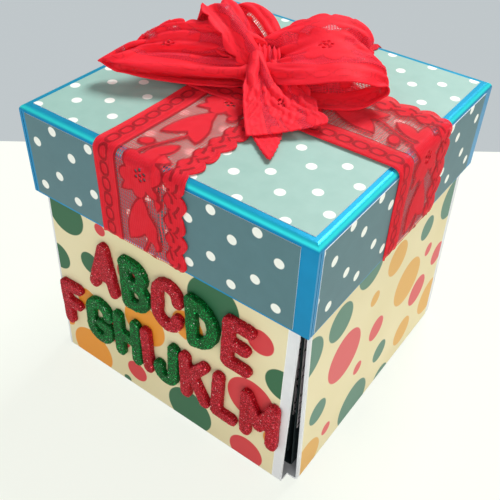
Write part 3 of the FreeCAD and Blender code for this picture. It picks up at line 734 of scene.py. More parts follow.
@dataclass(frozen=True)
class LacePattern:
    """The knitted design of the ribbon, repeated along it: s runs along, t from the straight edge across."""

    width: float = 35.0
    border: float = 8.6
    border_pitch: float = 5.5
    repeat: float = 44.0
    scallop_pitch: float = 7.0
    scallop_band: float = 27.2
    lowest_scallop: float = 32.7
    cord: float = 0.42
    bloom: tuple[float, float] = (28.6, 18.4)
    petals: int = 6
    petal: tuple[float, float] = (3.5, 2.7)
    petal_ring: float = 4.9
    heart: float = 3.0
    eye: float = 0.62
    eye_ring: float = 1.75
    lozenge: tuple[float, float] = (2.25, 1.5)
    lozenge_row: float = 4.0
    lozenge_power: float = 2.6
    outer_strip: float = 1.5
    inner_strip: float = 2.2

    def edge(self, s: Array) -> Array:
        """Where the scalloped edge runs, as a distance from the straight edge."""
        swing = np.abs(np.sin(math.pi * s / self.scallop_pitch)) ** 0.7
        deep = 0.78 + 0.22 * np.cos(math.pi * s / self.scallop_pitch + 0.6)
        return self.lowest_scallop + (self.width - self.lowest_scallop) * swing * deep

    def around(self, ring: float, angle: float) -> tuple[float, float]:
        """A place round the bloom's middle, at a distance in mm and an angle in radians."""
        return self.bloom[0] + ring * math.cos(angle), self.bloom[1] + ring * math.sin(angle)

    def motifs(self, s: Array, t: Array) -> Array:
        """How far inside a satin motif each point lies, mm.

        Args:
            s: Place along the ribbon, mm.
            t: Place across it from the straight edge, mm.

        Returns:
            Positive inside, negative outside.
        """
        u = np.mod(s, self.repeat)
        inside = np.full(np.broadcast(s, t).shape, -99.0)
        for lap in (-self.repeat, 0.0, self.repeat):
            x = u + lap
            shapes = [
                leaf(x, t, (3.0, 12.0), 19.0, 7.4, 18.0, 1.6),
                leaf(x, t, (4.0, 24.6), 15.0, 6.6, -24.0, -1.2),
                leaf(x, t, (21.0, 10.6), 13.0, 4.2, 40.0, 0.8),
                leaf(x, t, (36.0, 26.0), 13.5, 5.8, -118.0, 1.0),
                leaf(x, t, (44.5, 22.0), 11.0, 4.8, -150.0, -0.8),
                ellipse(x, t, (40.6, 12.6), (2.5, 1.8), 60.0),
                ellipse(x, t, (21.5, 24.4), (2.1, 1.5), 10.0),
            ]
            for petal in range(self.petals):
                angle = math.radians(360 / self.petals * petal + 12)
                middle = self.around(self.petal_ring, angle)
                shapes.append(ellipse(x, t, middle, self.petal, math.degrees(angle)))
            stem = 0.55 - np.abs(t - 17.6 - 3.4 * np.sin(2 * math.pi * x / self.repeat))
            shapes.append(np.where((x > 0) & (x < self.repeat), stem, -99.0))
            inside = np.maximum(inside, np.maximum.reduce(shapes))
        return inside

    def scallops(self, s: Array, t: Array) -> Array:
        """How far inside the satin band under the scallops each point lies, mm."""
        return t - self.scallop_band - 0.8 * np.cos(2 * math.pi * s / self.scallop_pitch)

    def strips(self, t: Array) -> Array:
        """How far inside the border's two satin strips each point lies, mm."""
        outer = self.outer_strip / 2 - np.abs(t - self.outer_strip / 2)
        inner = self.inner_strip / 2 - np.abs(t - (self.border - self.inner_strip / 2))
        return np.maximum(outer, inner)

    def lozenges(self, s: Array, t: Array) -> Array:
        """How far inside the chain of corded lozenges in the border each point lies, mm."""
        half, rise = self.lozenge
        power = self.lozenge_power
        along = np.abs(np.mod(s, self.border_pitch) - self.border_pitch / 2) / half
        across = np.abs(t - self.lozenge_row) / rise
        return (1 - (along**power + across**power) ** (1 / power)) * rise

    def veins(self, s: Array, t: Array) -> Array:
        """How far each point lies from the nearest broken cord along the scalloped edge, mm.

        Args:
            s: Place along the ribbon, mm.
            t: Place across it from the straight edge, mm.

        Returns:
            The distance, and a large number where no cord is near.
        """
        nearest = np.full(np.broadcast(s, t).shape, 9.0)
        for inset, start, share in ((2.6, 1.2, 0.62), (5.0, 4.0, 0.74)):
            drawn = np.mod(s + start, self.scallop_pitch) < share * self.scallop_pitch
            nearest = np.minimum(nearest, np.where(drawn, np.abs(t - self.edge(s) + inset), 9.0))
        return nearest

    def holes(self, s: Array, t: Array) -> Array:
        """How far inside an open hole each point lies, mm.

        Args:
            s: Place along the ribbon, mm.
            t: Place across it from the straight edge, mm.

        Returns:
            Positive inside a hole, negative outside.
        """
        u = np.mod(s, self.repeat)
        eyes = np.full(np.broadcast(s, t).shape, -9.0)
        for ring, count in ((0.0, 1), (self.eye_ring, self.petals)):
            for hole in range(count):
                middle = self.around(ring, 2 * math.pi * hole / count)
                eyes = np.maximum(eyes, ellipse(u, t, middle, (self.eye, self.eye)))
        return eyes

    def cloth(self, s: Array, t: Array) -> Array:
        """Positive where there is cloth, and zero along every cut or knitted edge."""
        rim = np.minimum(self.edge(s) - t, t + 0.01)
        return np.minimum(rim, -self.holes(s, t))

    def satin(self, s: Array, t: Array) -> Array:
        """1 on satin, 0 on the net between, and about a half along the cords that outline the motifs."""
        lozenge = self.lozenges(s, t)
        border = np.minimum(self.border - t, np.abs(lozenge) - 0.05)
        heart = ellipse(np.mod(s, self.repeat), t, self.bloom, (self.heart, self.heart))
        solid = np.maximum.reduce([self.motifs(s, t), self.scallops(s, t), border, heart])
        solid = np.minimum(solid, np.where(t > 25.4, self.veins(s, t) - 0.2, 9.0))
        return np.clip(0.5 + solid / 0.9, 0, 1)

    def relief(self, s: Array, t: Array) -> Array:
        """Height of the knit over the net, mm."""
        body = np.clip(self.motifs(s, t) / 0.8, 0, 1) * 0.22
        strip = np.clip(np.maximum(self.strips(t), self.scallops(s, t)) / 0.6, 0, 1) * 0.2
        lines = [self.motifs(s, t), self.veins(s, t), self.edge(s) - t - 0.5, t - 0.5, self.lozenges(s, t)]
        cords = sum(np.exp(-((line / self.cord) ** 2)) for line in lines)
        return np.maximum(body, strip) + 0.24 * np.clip(cords, 0, 1.2)


@dataclass
class Cloth:
    """A patch of lace cut out of the pattern: its flat triangles, ready to be draped."""

    s: Array
    t: Array
    triangles: Array
    rim: Array

    @property
    def area(self) -> float:
        """Area of the patch as it was cut, laid flat, mm2."""
        corners = np.stack([self.s, self.t], 1)[self.triangles]
        one, two = corners[:, 1] - corners[:, 0], corners[:, 2] - corners[:, 0]
        return float(np.abs(one[:, 0] * two[:, 1] - one[:, 1] * two[:, 0]).sum() / 2)

    @staticmethod
    def cut(
        pattern: LacePattern, start: float, end: float, step: float, trim: Optional[Callable] = None
    ) -> "Cloth":
        """Cuts a length of ribbon along the pattern's edges and holes.

        Args:
            pattern: The design.
            start: Where the length starts, mm along the ribbon.
            end: Where it ends.
            step: Size of the mesh's cells, mm.
            trim: Takes s and t, and is positive where this cut keeps cloth.

        Returns:
            The flat patch.
        """
        columns = max(2, round((end - start) / step)) + 1
        rows = max(2, round(pattern.width / step)) + 1
        s, t = np.meshgrid(
            np.linspace(start, end, columns), np.linspace(0, pattern.width, rows), indexing="ij"
        )
        s, t = s.ravel(), t.ravel()
        value = pattern.cloth(s, t)
        if trim is not None:
            value = np.minimum(value, trim(s, t))
        value = np.where(np.abs(value) < 1e-4, 1e-4, value)
        corner = (np.arange(columns - 1)[:, None] * rows + np.arange(rows - 1)).ravel()
        odd = ((corner // rows + corner % rows) % 2).astype(bool)
        a, b, c, d = corner, corner + rows, corner + rows + 1, corner + 1
        first = np.where(odd[:, None], np.stack([a, b, d], 1), np.stack([a, b, c], 1))
        second = np.where(odd[:, None], np.stack([b, c, d], 1), np.stack([a, c, d], 1))
        return Cloth.clipped(s, t, value, np.concatenate([first, second]))

    @staticmethod
    def clipped(s: Array, t: Array, value: Array, triangles: Array) -> "Cloth":
        """Keeps the part of flat triangles where the value is positive.

        Args:
            s: Place of each point along the ribbon.
            t: Place across it.
            value: Positive where there is cloth.
            triangles: Corners of each triangle, counter-clockwise.

        Returns:
            The patch, with new points where edges cross zero.
        """
        sign = value[triangles] > 0
        kept = sign.sum(1)
        out = [triangles[kept == 3]]
        cuts: dict[tuple[int, int], int] = {}
        extra: list[tuple[int, int]] = []

        def crossing(i: int, j: int) -> int:
            """Number of the new point where an edge crosses the cut."""
            key = (min(i, j), max(i, j))
            if key not in cuts:
                cuts[key] = len(s) + len(extra)
                extra.append(key)
            return cuts[key]

        made = []
        crossed = (kept == 1) | (kept == 2)
        for corners, inside in zip(triangles[crossed], sign[crossed]):
            turn = int(np.argmax(inside if inside.sum() == 1 else ~inside))
            i, j, k = (int(corners[(turn + n) % 3]) for n in range(3))
            ij, ik = crossing(i, j), crossing(i, k)
            if inside.sum() == 1:
                made.append((i, ij, ik))
            else:
                made.extend([(ij, j, k), (ij, k, ik)])
        if made:
            out.append(np.array(made))
            i, j = np.array(extra).T
            share = value[i] / (value[i] - value[j])
            s = np.concatenate([s, s[i] + (s[j] - s[i]) * share])
            t = np.concatenate([t, t[i] + (t[j] - t[i]) * share])
        faces = np.concatenate(out)
        used, packed = np.unique(faces, return_inverse=True)
        faces = packed.reshape(faces.shape)
        edges = np.concatenate([faces[:, [0, 1]], faces[:, [1, 2]], faces[:, [2, 0]]])
        _, where, uses = np.unique(np.sort(edges, axis=1), axis=0, return_index=True, return_counts=True)
        return Cloth(s[used], t[used], faces, edges[where[uses == 1]])

    def draped(self, name: str, pattern: LacePattern, place: Callable, thickness: float) -> bpy.types.Object:
        """Lays the patch on a surface and gives it its knit relief and thickness.

        Args:
            name: The piece's name.
            pattern: The design, for relief and weave.
            place: Takes s and t, and returns points and unit normals, mm.
            thickness: Thickness of the net, mm.

        Returns:
            The lace as a closed mesh object.
        """
        points, normals = place(self.s, self.t)
        lift = (thickness + pattern.relief(self.s, self.t))[:, None]
        top, under = points + normals * lift, points
        count = len(self.s)
        a, b, c = (points[self.triangles[:, n]] for n in range(3))
        facing = (np.cross(b - a, c - a) * normals[self.triangles[:, 0]]).sum()
        if facing < 0:
            top, under = under, top
        walls = np.concatenate(
            [
                np.stack([self.rim[:, 0], self.rim[:, 0] + count, self.rim[:, 1]], 1),
                np.stack([self.rim[:, 1], self.rim[:, 0] + count, self.rim[:, 1] + count], 1),
            ]
        )
        faces = np.concatenate([self.triangles, self.triangles[:, ::-1] + count, walls])
        mesh = bpy.data.meshes.new(name)
        mesh.from_pydata((np.concatenate([top, under]) * MM).tolist(), [], faces.tolist())
        corner = faces.ravel() % count
        uv = np.stack([self.s, self.t], 1)[corner] * MM
        layer = mesh.uv_layers.new(name=CLOTH_MAP)
        layer.data.foreach_set("uv", uv.astype(np.float32).ravel())
        weave = mesh.attributes.new(WEAVE, "FLOAT", "POINT")
        weave.data.foreach_set("value", np.tile(pattern.satin(self.s, self.t), 2).astype(np.float32))
        smooth = np.ones(len(faces), bool)
        smooth[2 * len(self.triangles) :] = False
        mesh.polygons.foreach_set("use_smooth", smooth)
        mesh.update()
        return new_mesh_object(name, mesh)


@dataclass
class LaceBand:
    """A ribbon of lace laid over the lid from rim to rim, round both top folds."""

    name: str
    node: str
    along: Vector
    across: Vector
    shift: float
    pattern: LacePattern
    thickness: float = 0.16
    cad_thickness: float = 0.45
    corner: float = 2.6
    seat: float = 0.05
    step: float = 0.5
    seed: int = 3
    ridges: Sequence[tuple[float, float, float, float, float]] = field(default_factory=tuple)

    def __post_init__(self) -> None:
        """Reads the band's run from its CAD solid."""
        low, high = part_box(self.node)
        axis = 0 if abs(self.along.x) > 0.5 else 1
        self.half = high[axis] / MM - self.cad_thickness
        self.top = high.z / MM - self.cad_thickness
        self.rim = low.z / MM
        self.drop = self.top - self.corner - self.rim
        self.arc = math.pi / 2 * self.corner
        self.flat = 2 * (self.half - self.corner)

    @property
    def length(self) -> float:
        """Length of the cut ribbon, mm."""
        return 2 * (self.drop + self.arc) + self.flat

    def run(self, s: Array) -> tuple[Array, Array, Array, Array]:
        """The band's line: how far along, how high, and the outward normal's two parts.

        Args:
            s: Place along the ribbon, mm.

        Returns:
            How far along, how high, and the normal's level and upward parts.
        """
        half = self.length / 2
        mirror = np.where(s > half, -1.0, 1.0)
        d = np.where(s > half, self.length - s, s)
        angle = np.clip((d - self.drop) / self.corner, 0, math.pi / 2)
        out = self.half - self.corner * (1 - np.cos(angle)) - np.clip(d - self.drop - self.arc, 0, None)
        rise = self.rim + np.clip(d, None, self.drop) + self.corner * np.sin(angle)
        return out * mirror, rise, np.cos(angle) * mirror, np.sin(angle)

    def slack(self, s: Array, t: Array) -> Array:
        """How far the loose cloth stands off the paper, mm.

        Args:
            s: Place along the ribbon, mm.
            t: Place across it from the straight edge, mm.

        Returns:
            The height of the slack over the lid, mm.
        """
        loose = 0.22 * (1 + waves(s, t, self.seed, 24.0)) * np.clip(0.35 + (t / self.pattern.width), 0, 1)
        for centre, start, end, height, breadth in self.ridges:
            middle = centre + 1.1 * np.sin(s / 6.3 + centre)
            reach = np.clip((s - start) / 4, 0, 1) * np.clip((end - s) / 4, 0, 1)
            loose = loose + height * reach * np.exp(-(((t - middle) / breadth) ** 2))
        ends = np.minimum(np.clip(s / 3, 0.25, 1), np.clip((self.length - s) / 3, 0.25, 1))
        return np.clip(loose, 0, None) * ends

    def place(self, s: Array, t: Array) -> tuple[Array, Array]:
        """Points and normals of the draped cloth.

        Args:
            s: Place along the ribbon, mm.
            t: Place across it from the straight edge, mm.

        Returns:
            Points, mm, and unit normals.
        """
        out, rise, level, up = self.run(s)
        normal = level[:, None] * np.array(self.along) + up[:, None] * np.array([0, 0, 1.0])
        across = self.shift - self.pattern.width / 2 + t + 0.35 * waves(s, t, self.seed + 1, 40.0, 1)
        base = out[:, None] * np.array(self.along) + across[:, None] * np.array(self.across)
        base[:, 2] += rise
        return base + normal * (self.seat + self.slack(s, t))[:, None], normal

    def build(self, finish: bpy.types.Material) -> bpy.types.Object:
        """Makes the band.

        Args:
            finish: The lace's material.

        Returns:
            The band, riding on the lid.
        """
        cloth = Cloth.cut(self.pattern, 0.0, self.length, self.step)
        made = cloth.draped(self.name, self.pattern, self.place, self.thickness)
        made.data.materials.append(finish)
        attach(made, "lid")
        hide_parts(self.node)
        log.info("%s: %d faces, %.0f mm of ribbon", self.name, len(made.data.polygons), self.length)
        return made


# ---------------------------------------------------------------- tied bow


def unit(vectors: Array) -> Array:
    """Vectors scaled to length 1."""
    return vectors / np.maximum(np.linalg.norm(vectors, axis=-1, keepdims=True), 1e-9)


@dataclass(frozen=True)
class Ruffle:
    """A place where one edge of the ribbon stands out or up from its smooth run."""

    at: float
    side: int
    spread: float
    out: float
    up: float


@dataclass(frozen=True)
class BowPart:
    """A length of the ribbon in the bow: a loop that comes back to the knot, or a loose end.

    The ribbon leaves the knot gathered and opens towards the middle of the part. Where it is narrower than
    the cloth, the cloth that is left over stands in folds, so their depth follows from the two widths.
    """

    name: str
    azimuth: float
    climb: float
    roll: float
    reach: float
    height: float
    root: float
    middle: float
    end: float
    sag: float = 0.3
    loop: bool = True
    folds: float = 2.5
    kept: float = 0.3
    lean: float = 0.5
    crumple: float = 0.8
    firm: float = 1.0
    full: float = 0.88
    lift: float = 0.0
    slant: float = 0.0
    tip: float = 1.0
    flip: bool = False
    start: float = 0.0
    seed: int = 1
    ruffles: Sequence[Ruffle] = ()

    @property
    def length(self) -> float:
        """Length of ribbon in the part, mm."""
        return self.reach * (2.1 if self.loop else 1.08)

    def cut(self, share: Array) -> Array:
        """Share of the ribbon's width that is left at each place: a loose end may be cut off on the slant."""
        return 1 - (1 - self.tip) * np.clip(share, 0, 1)

    def axes(self) -> tuple[Array, Array, Array]:
        """Unit vectors outwards, across the ribbon, and square to both.

        Returns:
            The three unit vectors.
        """
        azimuth, climb, roll = (math.radians(angle) for angle in (self.azimuth, self.climb, self.roll))
        out = np.array(
            [math.cos(azimuth) * math.cos(climb), math.sin(azimuth) * math.cos(climb), math.sin(climb)]
        )
        level = np.array([-math.sin(azimuth), math.cos(azimuth), 0.0])
        lift = np.cross(out, level)
        across = level * math.cos(roll) + lift * math.sin(roll)
        return out, across, np.cross(out, across)

    def slanted(self, side: Array) -> Array:
        """Share of the reach at each place across the ribbon: a slanted fold brings one edge back early."""
        return 1 - abs(self.slant) * (0.5 - np.sign(self.slant) * side)

    def line(self, share: Array, side: Array, knot: Array) -> Array:
        """Where the run of the ribbon lies at a share of its length, before it is spread sideways.

        Args:
            share: Place along the part, 0 to 1.
            side: Place across the ribbon, -0.5 to 0.5.
            knot: Middle of the knot, mm.

        Returns:
            One point a row, mm.
        """
        out, _, lift = self.axes()
        if self.loop:
            turn = 2 * math.pi * share
            belly = np.where(share < 0.5, self.sag, 1.2 - self.sag)
            pinch = 0.25 * self.root * np.cos(turn / 2)
            rise = -np.sin(turn) * np.sin(turn / 2) * belly * self.height - pinch
            run = self.reach * (1 - np.cos(turn)) / 2
        else:
            rise = -self.height * np.sin(math.pi / 2 * share)
            run = self.reach * share
        points = knot + out * (run * self.slanted(side))[:, None] + lift * rise[:, None]
        points[:, 2] += self.lift * (1 - share)
        return points

    def spread(self, share: Array) -> Array:
        """Width of the ribbon at a share of its length, mm: a smooth curve through root, middle and end."""
        away = 1 - np.abs(2 * share - 1) if self.loop else share
        pull = 2 * self.middle - (self.root + self.end) / 2
        return (1 - away) ** 2 * self.root + 2 * away * (1 - away) * pull + away**2 * self.end

    def fold_depth(self, width: Array, cloth: Array) -> Array:
        """Height of the folds that take up the cloth a gathered width leaves over, mm."""
        spare = np.maximum((cloth / width) ** 2 - 1, 0)
        return np.minimum(width / (2 * math.pi * self.folds) * np.sqrt(2 * spare), 1.1 + 0.14 * width)

    def surface(self, share: Array, side: Array, knot: Array, cloth: float) -> Array:
        """Points of the gathered cloth.

        Args:
            share: Place along the part, 0 to 1.
            side: Place across the ribbon, -0.5 to 0.5.
            knot: Middle of the knot, mm.
            cloth: Width of the flat ribbon, mm.

        Returns:
            One point a row, mm.
        """
        _, across, _ = self.axes()
        centre = self.line(share, side, knot)
        ahead, behind = np.clip(share + 0.01, 0, 1), np.clip(share - 0.01, 0, 1)
        tangent = unit(self.line(ahead, side, knot) - self.line(behind, side, knot))
        normal = np.cross(tangent, across)
        width = self.spread(share)
        open_share = np.clip((width - self.root) / max(self.middle - self.root, 1e-6), 0, 1)
        drift = 0.8 * np.sin(4.2 * share + self.seed) + 0.35 * np.sin(11 * share + 2.1 * self.seed)
        phase = 2 * math.pi * self.folds * side + self.seed + drift
        depth = self.fold_depth(width, cloth * self.cut(share)) * (1 - (1 - self.kept) * np.sqrt(open_share))
        bulge = self.crumple * open_share * waves(share * self.length, side * width, self.seed + 7, 13.0, 3)
        offset = np.sin(phase) * depth + bulge
        shift = self.lean * depth * np.sin(2 * phase) * 0.5
        up = np.zeros_like(share)
        out = np.zeros_like(share)
        for ruffle in self.ruffles:
            reach = np.exp(-(((share - ruffle.at) / ruffle.spread) ** 2))
            edge = np.clip(side * 2 * ruffle.side, 0, 1) ** 1.5
            out = out + ruffle.out * reach * edge * ruffle.side
            up = up + ruffle.up * reach * edge
        points = centre + across * (side * width + out + shift)[:, None] + normal * offset[:, None]
        points[:, 2] += up
        return points


@dataclass
class Settling:
    """Lets a length of ribbon find its own folds.

    The cloth is a grid of points that keep their distances from each other. It starts from the shape that
    the bow was pulled into, narrower than the cloth, so it buckles. The knot holds its root, and the lid
    holds it up.
    """

    cell: float = 1.15
    rounds: int = 260
    hold: float = 0.012
    fall: float = 0.0035
    damping: float = 0.93
    shear: float = 0.35
    stiff: float = 0.5

    def settle(self, part: BowPart, knot: Array, cloth: float, floor: float) -> Array:
        """Settles one part of the bow.

        Args:
            part: The part.
            knot: Middle of the knot, mm.
            cloth: Width of the flat ribbon, mm.
            floor: Height of what the cloth rests on, mm.

        Returns:
            The grid, rows along the ribbon and columns across it, mm.
        """
        rows = int(round(part.length / self.cell)) + 1
        columns = int(round(cloth / self.cell)) + 1
        share, side = np.meshgrid(np.linspace(0, 1, rows), np.linspace(-0.5, 0.5, columns), indexing="ij")
        guide = part.surface(share.ravel(), side.ravel(), knot, cloth).reshape(rows, columns, 3)
        guide[..., 2] = np.maximum(guide[..., 2], floor)
        free = np.clip(share / 0.06 - 0.3, 0, 1)
        if part.loop:
            free = np.minimum(free, np.clip((1 - share) / 0.06 - 0.3, 0, 1))
        along = part.length / (rows - 1) * part.slanted(side[0])[None, :, None]
        across = cloth * part.full / (columns - 1) * part.cut(share[:, :1])[..., None]
        points, before = guide.copy(), guide.copy()
        pull = self.hold * part.firm
        for turn in range(self.rounds):
            moved = points + (points - before) * self.damping
            moved[..., 2] -= self.fall
            moved += (guide - moved) * pull
            before, points = points, moved
            for axis, rest in ((0, along), (1, across[None, :, 0])):
                self.keep(points, free, axis, 1, rest, 1.0, True)
                self.keep(points, free, axis, 2, rest * 2 * 0.97, self.stiff, False)
                self.keep(points, free, axis, 4, rest * 4 * 0.86, self.stiff, False)
            self.square(points, free, np.hypot(part.length / (rows - 1), across[:-1]))
            points[..., 2] = np.maximum(points[..., 2], floor)
            points[:] = guide + (points - guide) * free[..., None] ** 0.5
        return points

    @staticmethod
    def keep(
        points: Array, free: Array, axis: int, apart: int, rest: Array, force: float, both: bool
    ) -> None:
        """Moves pairs of points along one direction of the grid towards their distance.

        Args:
            points: The grid, changed in place.
            free: How far each point may move, 0 to 1.
            axis: 0 along the ribbon, 1 across it.
            apart: How many cells lie between the two of a pair.
            rest: Their distance, mm.
            force: Share of the error that is mended.
            both: True mends long and short distances, False only short ones.
        """
        grid = np.moveaxis(points, axis, 0)
        loose = np.moveaxis(free, axis, 0)[..., None]
        for first in range(2 * apart):
            start = first % apart + (first // apart) * apart
            low = np.arange(start, grid.shape[0] - apart, 2 * apart)
            high = low + apart
            if low.size == 0:
                continue
            step = grid[high] - grid[low]
            length = np.maximum(np.linalg.norm(step, axis=-1, keepdims=True), 1e-6)
            error = length - rest
            if not both:
                error = np.minimum(error, 0)
            weight = loose[low] + loose[high] + 1e-6
            change = step / length * error * force
            grid[low] += change * loose[low] / weight
            grid[high] -= change * loose[high] / weight

    def square(self, points: Array, free: Array, rest: Array) -> None:
        """Keeps the cells of the grid from shearing far.

        Args:
            points: The grid, changed in place.
            free: How far each point may move, 0 to 1.
            rest: Length of a cell's diagonal at each row, mm.
        """
        for dx, dy in ((1, 1), (1, -1)):
            left = slice(0, -1) if dy > 0 else slice(1, None)
            right = slice(1, None) if dy > 0 else slice(0, -1)
            for parity in (0, 1):
                low = points[:-1, left][parity::2]
                high = points[1:, right][parity::2]
                step = high - low
                length = np.maximum(np.linalg.norm(step, axis=-1, keepdims=True), 1e-6)
                change = step / length * (length - rest[parity::2]) * 0.5 * self.shear
                low += change * free[:-1, left][parity::2][..., None] * 0.5
                high -= change * free[1:, right][parity::2][..., None] * 0.5


@dataclass
class GridCloth:
    """A settled grid read as a smooth surface."""

    grid: Array
    part: BowPart
    pattern: LacePattern

    def at(self, share: Array, side: Array) -> Array:
        """Points of the smooth surface at shares along and across the ribbon, both 0 to 1.

        Args:
            share: Place along the part, 0 to 1.
            side: Place across the ribbon, 0 to 1.

        Returns:
            One point a row, mm.
        """
        rows, columns = self.grid.shape[:2]
        weights, indices = [], []
        for value, count in ((share, rows), (side, columns)):
            place = np.clip(value, 0, 1) * (count - 1)
            cell = np.clip(np.floor(place).astype(int), 0, count - 2)
            f = place - cell
            weights.append(
                (
                    -0.5 * f + f**2 - 0.5 * f**3,
                    1 - 2.5 * f**2 + 1.5 * f**3,
                    0.5 * f + 2 * f**2 - 1.5 * f**3,
                    -0.5 * f**2 + 0.5 * f**3,
                )
            )
            indices.append([np.clip(cell + shift, 0, count - 1) for shift in (-1, 0, 1, 2)])
        points = np.zeros((len(share), 3))
        for i in range(4):
            for j in range(4):
                points += self.grid[indices[0][i], indices[1][j]] * (weights[0][i] * weights[1][j])[:, None]
        return points

    def place(self, s: Array, t: Array) -> tuple[Array, Array]:
        """Points and normals at the ribbon's s and t.

        Args:
            s: Place along the ribbon, mm.
            t: Place across it from the straight edge, mm.

        Returns:
            Points, mm, and unit normals.
        """
        share = (s - self.part.start) / self.part.length
        side = t / (self.pattern.width * self.part.cut(share))
        if self.part.flip:
            side = 1 - side
        step = 0.006
        ahead = self.at(share + step, side) - self.at(share - step, side)
        over = self.at(share, side + 2 * step) - self.at(share, side - 2 * step)
        return self.at(share, side), unit(np.cross(ahead, over))


@dataclass
class LaceBow:
    """The bow: one ribbon tied on the crossing of the two bands."""

    pattern: LacePattern
    node: str = "lace_bow"
    knot_radius: float = 5.5
    knot_half: float = 5.5
    knot_turn: float = 35.0
    knot_slack: float = 1.06
    seat: float = 0.3
    step: float = 0.62
    thickness: float = 0.14
    floor: float = 107.9

    def __post_init__(self) -> None:
        """Finds the knot from the bands under it."""
        front_low, front_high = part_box("front_back_lace")
        side_low, side_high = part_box("left_right_lace")
        self.knot = np.array(
            [
                (front_low.x + front_high.x) / 2 / MM,
                (side_low.y + side_high.y) / 2 / MM,
                side_high.z / MM + self.seat + self.knot_radius,
            ]
        )

    @property
    def parts(self) -> list[BowPart]:
        """The loops and loose ends, in the order they were tied.

        Returns:
            One part for each loop and each end.
        """
        raised = Ruffle(at=0.4, side=1, spread=0.05, out=3.0, up=8.0)
        hanging = Ruffle(at=0.27, side=-1, spread=0.14, out=3.0, up=-6.0)
        return [
            BowPart(
                "long_loop", azimuth=211, climb=6, roll=-34, reach=51, height=4.5, root=7, middle=20, end=17,
                sag=0.3, folds=1.2, seed=2, start=3.0, flip=True, full=0.76, slant=0.4,
            ),
            BowPart(
                "upright_loop", azimuth=166, climb=30, roll=4, reach=27, height=9, root=8, middle=25, end=8,
                sag=0.6, folds=1.6, seed=9, start=90.0, full=0.9, slant=0.2, crumple=1.8,
            ),
            BowPart(
                "round_loop", azimuth=27, climb=8, roll=19, reach=40, height=10, root=8, middle=32, end=17,
                sag=0.3, folds=1.6, seed=8, start=12.0, crumple=1.6, slant=-0.2, ruffles=(raised, hanging),
            ),
            BowPart(
                "long_end", azimuth=308, climb=0, roll=0, reach=46, height=5.5, root=5, middle=12, end=1,
                loop=False, folds=1.1, seed=3, start=25.0, kept=0.1, full=0.75, firm=5.0, crumple=0.3,
                lift=-4.0, tip=0.05,
            ),
            BowPart(
                "fan_end", azimuth=318, climb=0, roll=4, reach=34, height=4.0, root=7, middle=19, end=25,
                loop=False, folds=0.8, seed=4, start=5.0, kept=0.1, full=0.72, firm=8.0, crumple=0.15,
                lift=4.5,
            ),
        ]

    def wrap(self, s: Array, t: Array) -> tuple[Array, Array]:
        """The turn of ribbon round the knot, as points and normals.

        Args:
            s: Place along the ribbon, mm.
            t: Place across it from the straight edge, mm.

        Returns:
            Points, mm, and unit normals.
        """
        half, radius = self.knot_half, self.knot_radius
        side = t / self.pattern.width * 2 - 1
        angle = s / (radius * self.knot_slack)
        bulge = 1 - 0.28 * np.abs(side) ** 2.2
        gathers = 0.1 * np.sin(7 * side * math.pi + 0.8 * np.sin(angle))
        creases = gathers + 0.03 * np.sin(3 * angle + 4 * side)
        reach = radius * (bulge + creases)
        turn = math.radians(self.knot_turn)
        along = np.array([math.cos(turn), math.sin(turn), 0.0])
        across = np.array([-math.sin(turn), math.cos(turn), 0.0])
        radial = np.cos(angle)[:, None] * across + np.sin(angle)[:, None] * np.array([0, 0, 1.0])
        points = self.knot + along * (side * half)[:, None] + radial * reach[:, None]
        return points, radial

    def ribbon(self, part: BowPart) -> Cloth:
        """The length of ribbon that a part takes, cut on the slant where the part is.

        Args:
            part: The loop or loose end.

        Returns:
            The flat patch.
        """

        def kept(s: Array, t: Array) -> Array:
            """How far inside the slanted cut each point lies, mm."""
            return self.pattern.width * part.cut((s - part.start) / part.length) - t

        trim = kept if part.tip < 1 else None
        return Cloth.cut(self.pattern, part.start, part.start + part.length, self.step, trim)

    def build(self, finish: bpy.types.Material) -> list[bpy.types.Object]:
        """Makes the bow.

        Args:
            finish: The lace's material.

        Returns:
            The bow's one piece.
        """
        made = []
        for part in self.parts:
            cloth = self.ribbon(part)
            grid = Settling().settle(part, self.knot, self.pattern.width, self.floor)
            surface = GridCloth(grid, part, self.pattern)
            made.append(cloth.draped(part.name, self.pattern, surface.place, self.thickness))
        round_knot = 2 * math.pi * self.knot_radius * self.knot_slack
        cloth = Cloth.cut(self.pattern, 0.0, round_knot, self.step)
        made.append(cloth.draped("knot", self.pattern, self.wrap, self.thickness))
        for piece in made:
            piece.data.materials.append(finish)
        bow = joined("tied_bow", made)
        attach(bow, "lid")
        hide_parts(self.node)
        return [bow]


def joined(name: str, pieces: Sequence[bpy.types.Object]) -> bpy.types.Object:
    """Joins meshes into one piece.

    Args:
        name: The joined piece's name.
        pieces: Objects at the origin.

    Returns:
        The one object that is left.
    """
    with bpy.context.temp_override(
        active_object=pieces[0], selected_objects=list(pieces), selected_editable_objects=list(pieces)
    ):
        bpy.ops.object.join()
    pieces[0].name = name
    pieces[0].data.name = name
    return pieces[0]


# ---------------------------------------------------------------- foam letters


